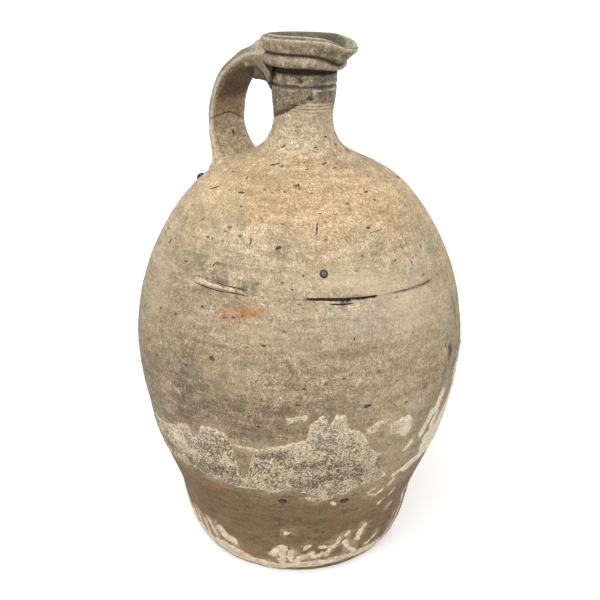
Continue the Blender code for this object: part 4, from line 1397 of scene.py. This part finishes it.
FLOOR_HALF = 40.0  # metres, half the floor's width
FLOOR_GLOW = 0.42  # only the camera sees it: it keeps the floor as pale as the sky behind it
SKY, SKY_SEEN = 0.66, 0.5  # strength of the light from all round, and what the camera sees on top of it
KEY = ((-0.45, 0.75, 0.95), 1.15, 50.0)  # direction for view_point, strength, spread
FILL = ((0.6, 0.5, 1.0), 0.40, 70.0)
CAMERA_AWAY, CAMERA_UP = 0.6311, 0.4679  # metres from the jug's axis and above the floor
CAMERA_PITCH, CAMERA_ROLL = 25.76, 1.12
LENS, LENS_SHIFT = 51.70, (0.0017, 0.0705)


def scale_by_camera_ray(tree, factor, offset, target):
    """Drives a socket with factor on rays from the camera, and offset on all rays."""
    level = tree.nodes.new("ShaderNodeMath")
    level.operation = "MULTIPLY_ADD"
    tree.links.new(tree.nodes.new("ShaderNodeLightPath").outputs["Is Camera Ray"], level.inputs[0])
    level.inputs[1].default_value, level.inputs[2].default_value = factor, offset
    tree.links.new(level.outputs[0], target)


def make_floor():
    mesh = bpy.data.meshes.new("floor")
    corners = [(x * FLOOR_HALF, y * FLOOR_HALF, 0) for x, y in ((-1, -1), (1, -1), (1, 1), (-1, 1))]
    mesh.from_pydata(corners, [], [(0, 1, 2, 3)])
    floor = bpy.data.objects.new("floor", mesh)
    bpy.context.scene.collection.objects.link(floor)
    pale = bpy.data.materials.new("pale_floor")
    pale.use_nodes = True
    shader = pale.node_tree.nodes["Principled BSDF"]
    shader.inputs["Base Color"].default_value = (0.80, 0.80, 0.80, 1)
    shader.inputs["Roughness"].default_value = 0.9
    shader.inputs["Emission Color"].default_value = (1, 1, 1, 1)
    scale_by_camera_ray(pale.node_tree, FLOOR_GLOW, 0.0, shader.inputs["Emission Strength"])
    floor.data.materials.append(pale)


def view_point(right, toward, up):
    """Point in metres, given to the viewer's right, towards the viewer, and up from the floor."""
    a = math.radians(VIEW_TURN)
    return (right * math.cos(a) + toward * math.sin(a), right * math.sin(a) - toward * math.cos(a), up)


def add_sun(name, direction, strength, spread):
    """Soft sun that shines from a direction."""
    data = bpy.data.lights.new(name, "SUN")
    data.energy = strength
    data.angle = math.radians(spread)
    light = bpy.data.objects.new(name, data)
    light.rotation_euler = (-Vector(view_point(*direction))).to_track_quat("-Z", "Y").to_euler()
    bpy.context.scene.collection.objects.link(light)


def make_lights():
    world = bpy.data.worlds.new("studio")
    world.use_nodes = True
    sky = world.node_tree.nodes["Background"]
    sky.inputs["Color"].default_value = (1, 1, 1, 1)
    scale_by_camera_ray(world.node_tree, SKY_SEEN, SKY, sky.inputs["Strength"])
    bpy.context.scene.world = world
    add_sun("key", *KEY)
    add_sun("fill", *FILL)


def make_camera():
    data = bpy.data.cameras.new("camera")
    data.lens, data.sensor_width, data.clip_end = LENS, 36.0, 200
    data.shift_x, data.shift_y = LENS_SHIFT
    camera = bpy.data.objects.new("camera", data)
    bpy.context.scene.collection.objects.link(camera)
    turn, pitch, roll = (math.radians(angle) for angle in (VIEW_TURN, CAMERA_PITCH, CAMERA_ROLL))
    forward = Vector((-math.sin(turn) * math.cos(pitch), math.cos(turn) * math.cos(pitch), -math.sin(pitch)))
    right = Vector((math.cos(turn), math.sin(turn), 0))
    up = right.cross(forward)
    tilted_right = right * math.cos(roll) + up * math.sin(roll)
    tilted_up = up * math.cos(roll) - right * math.sin(roll)
    rotation = Matrix((tilted_right, tilted_up, -forward)).transposed()
    camera.matrix_world = Matrix.Translation(view_point(0.0, CAMERA_AWAY, CAMERA_UP)) @ rotation.to_4x4()
    bpy.context.scene.camera = camera


make_floor()
make_lights()
make_camera()
bpy.context.scene.view_settings.view_transform = "Standard"
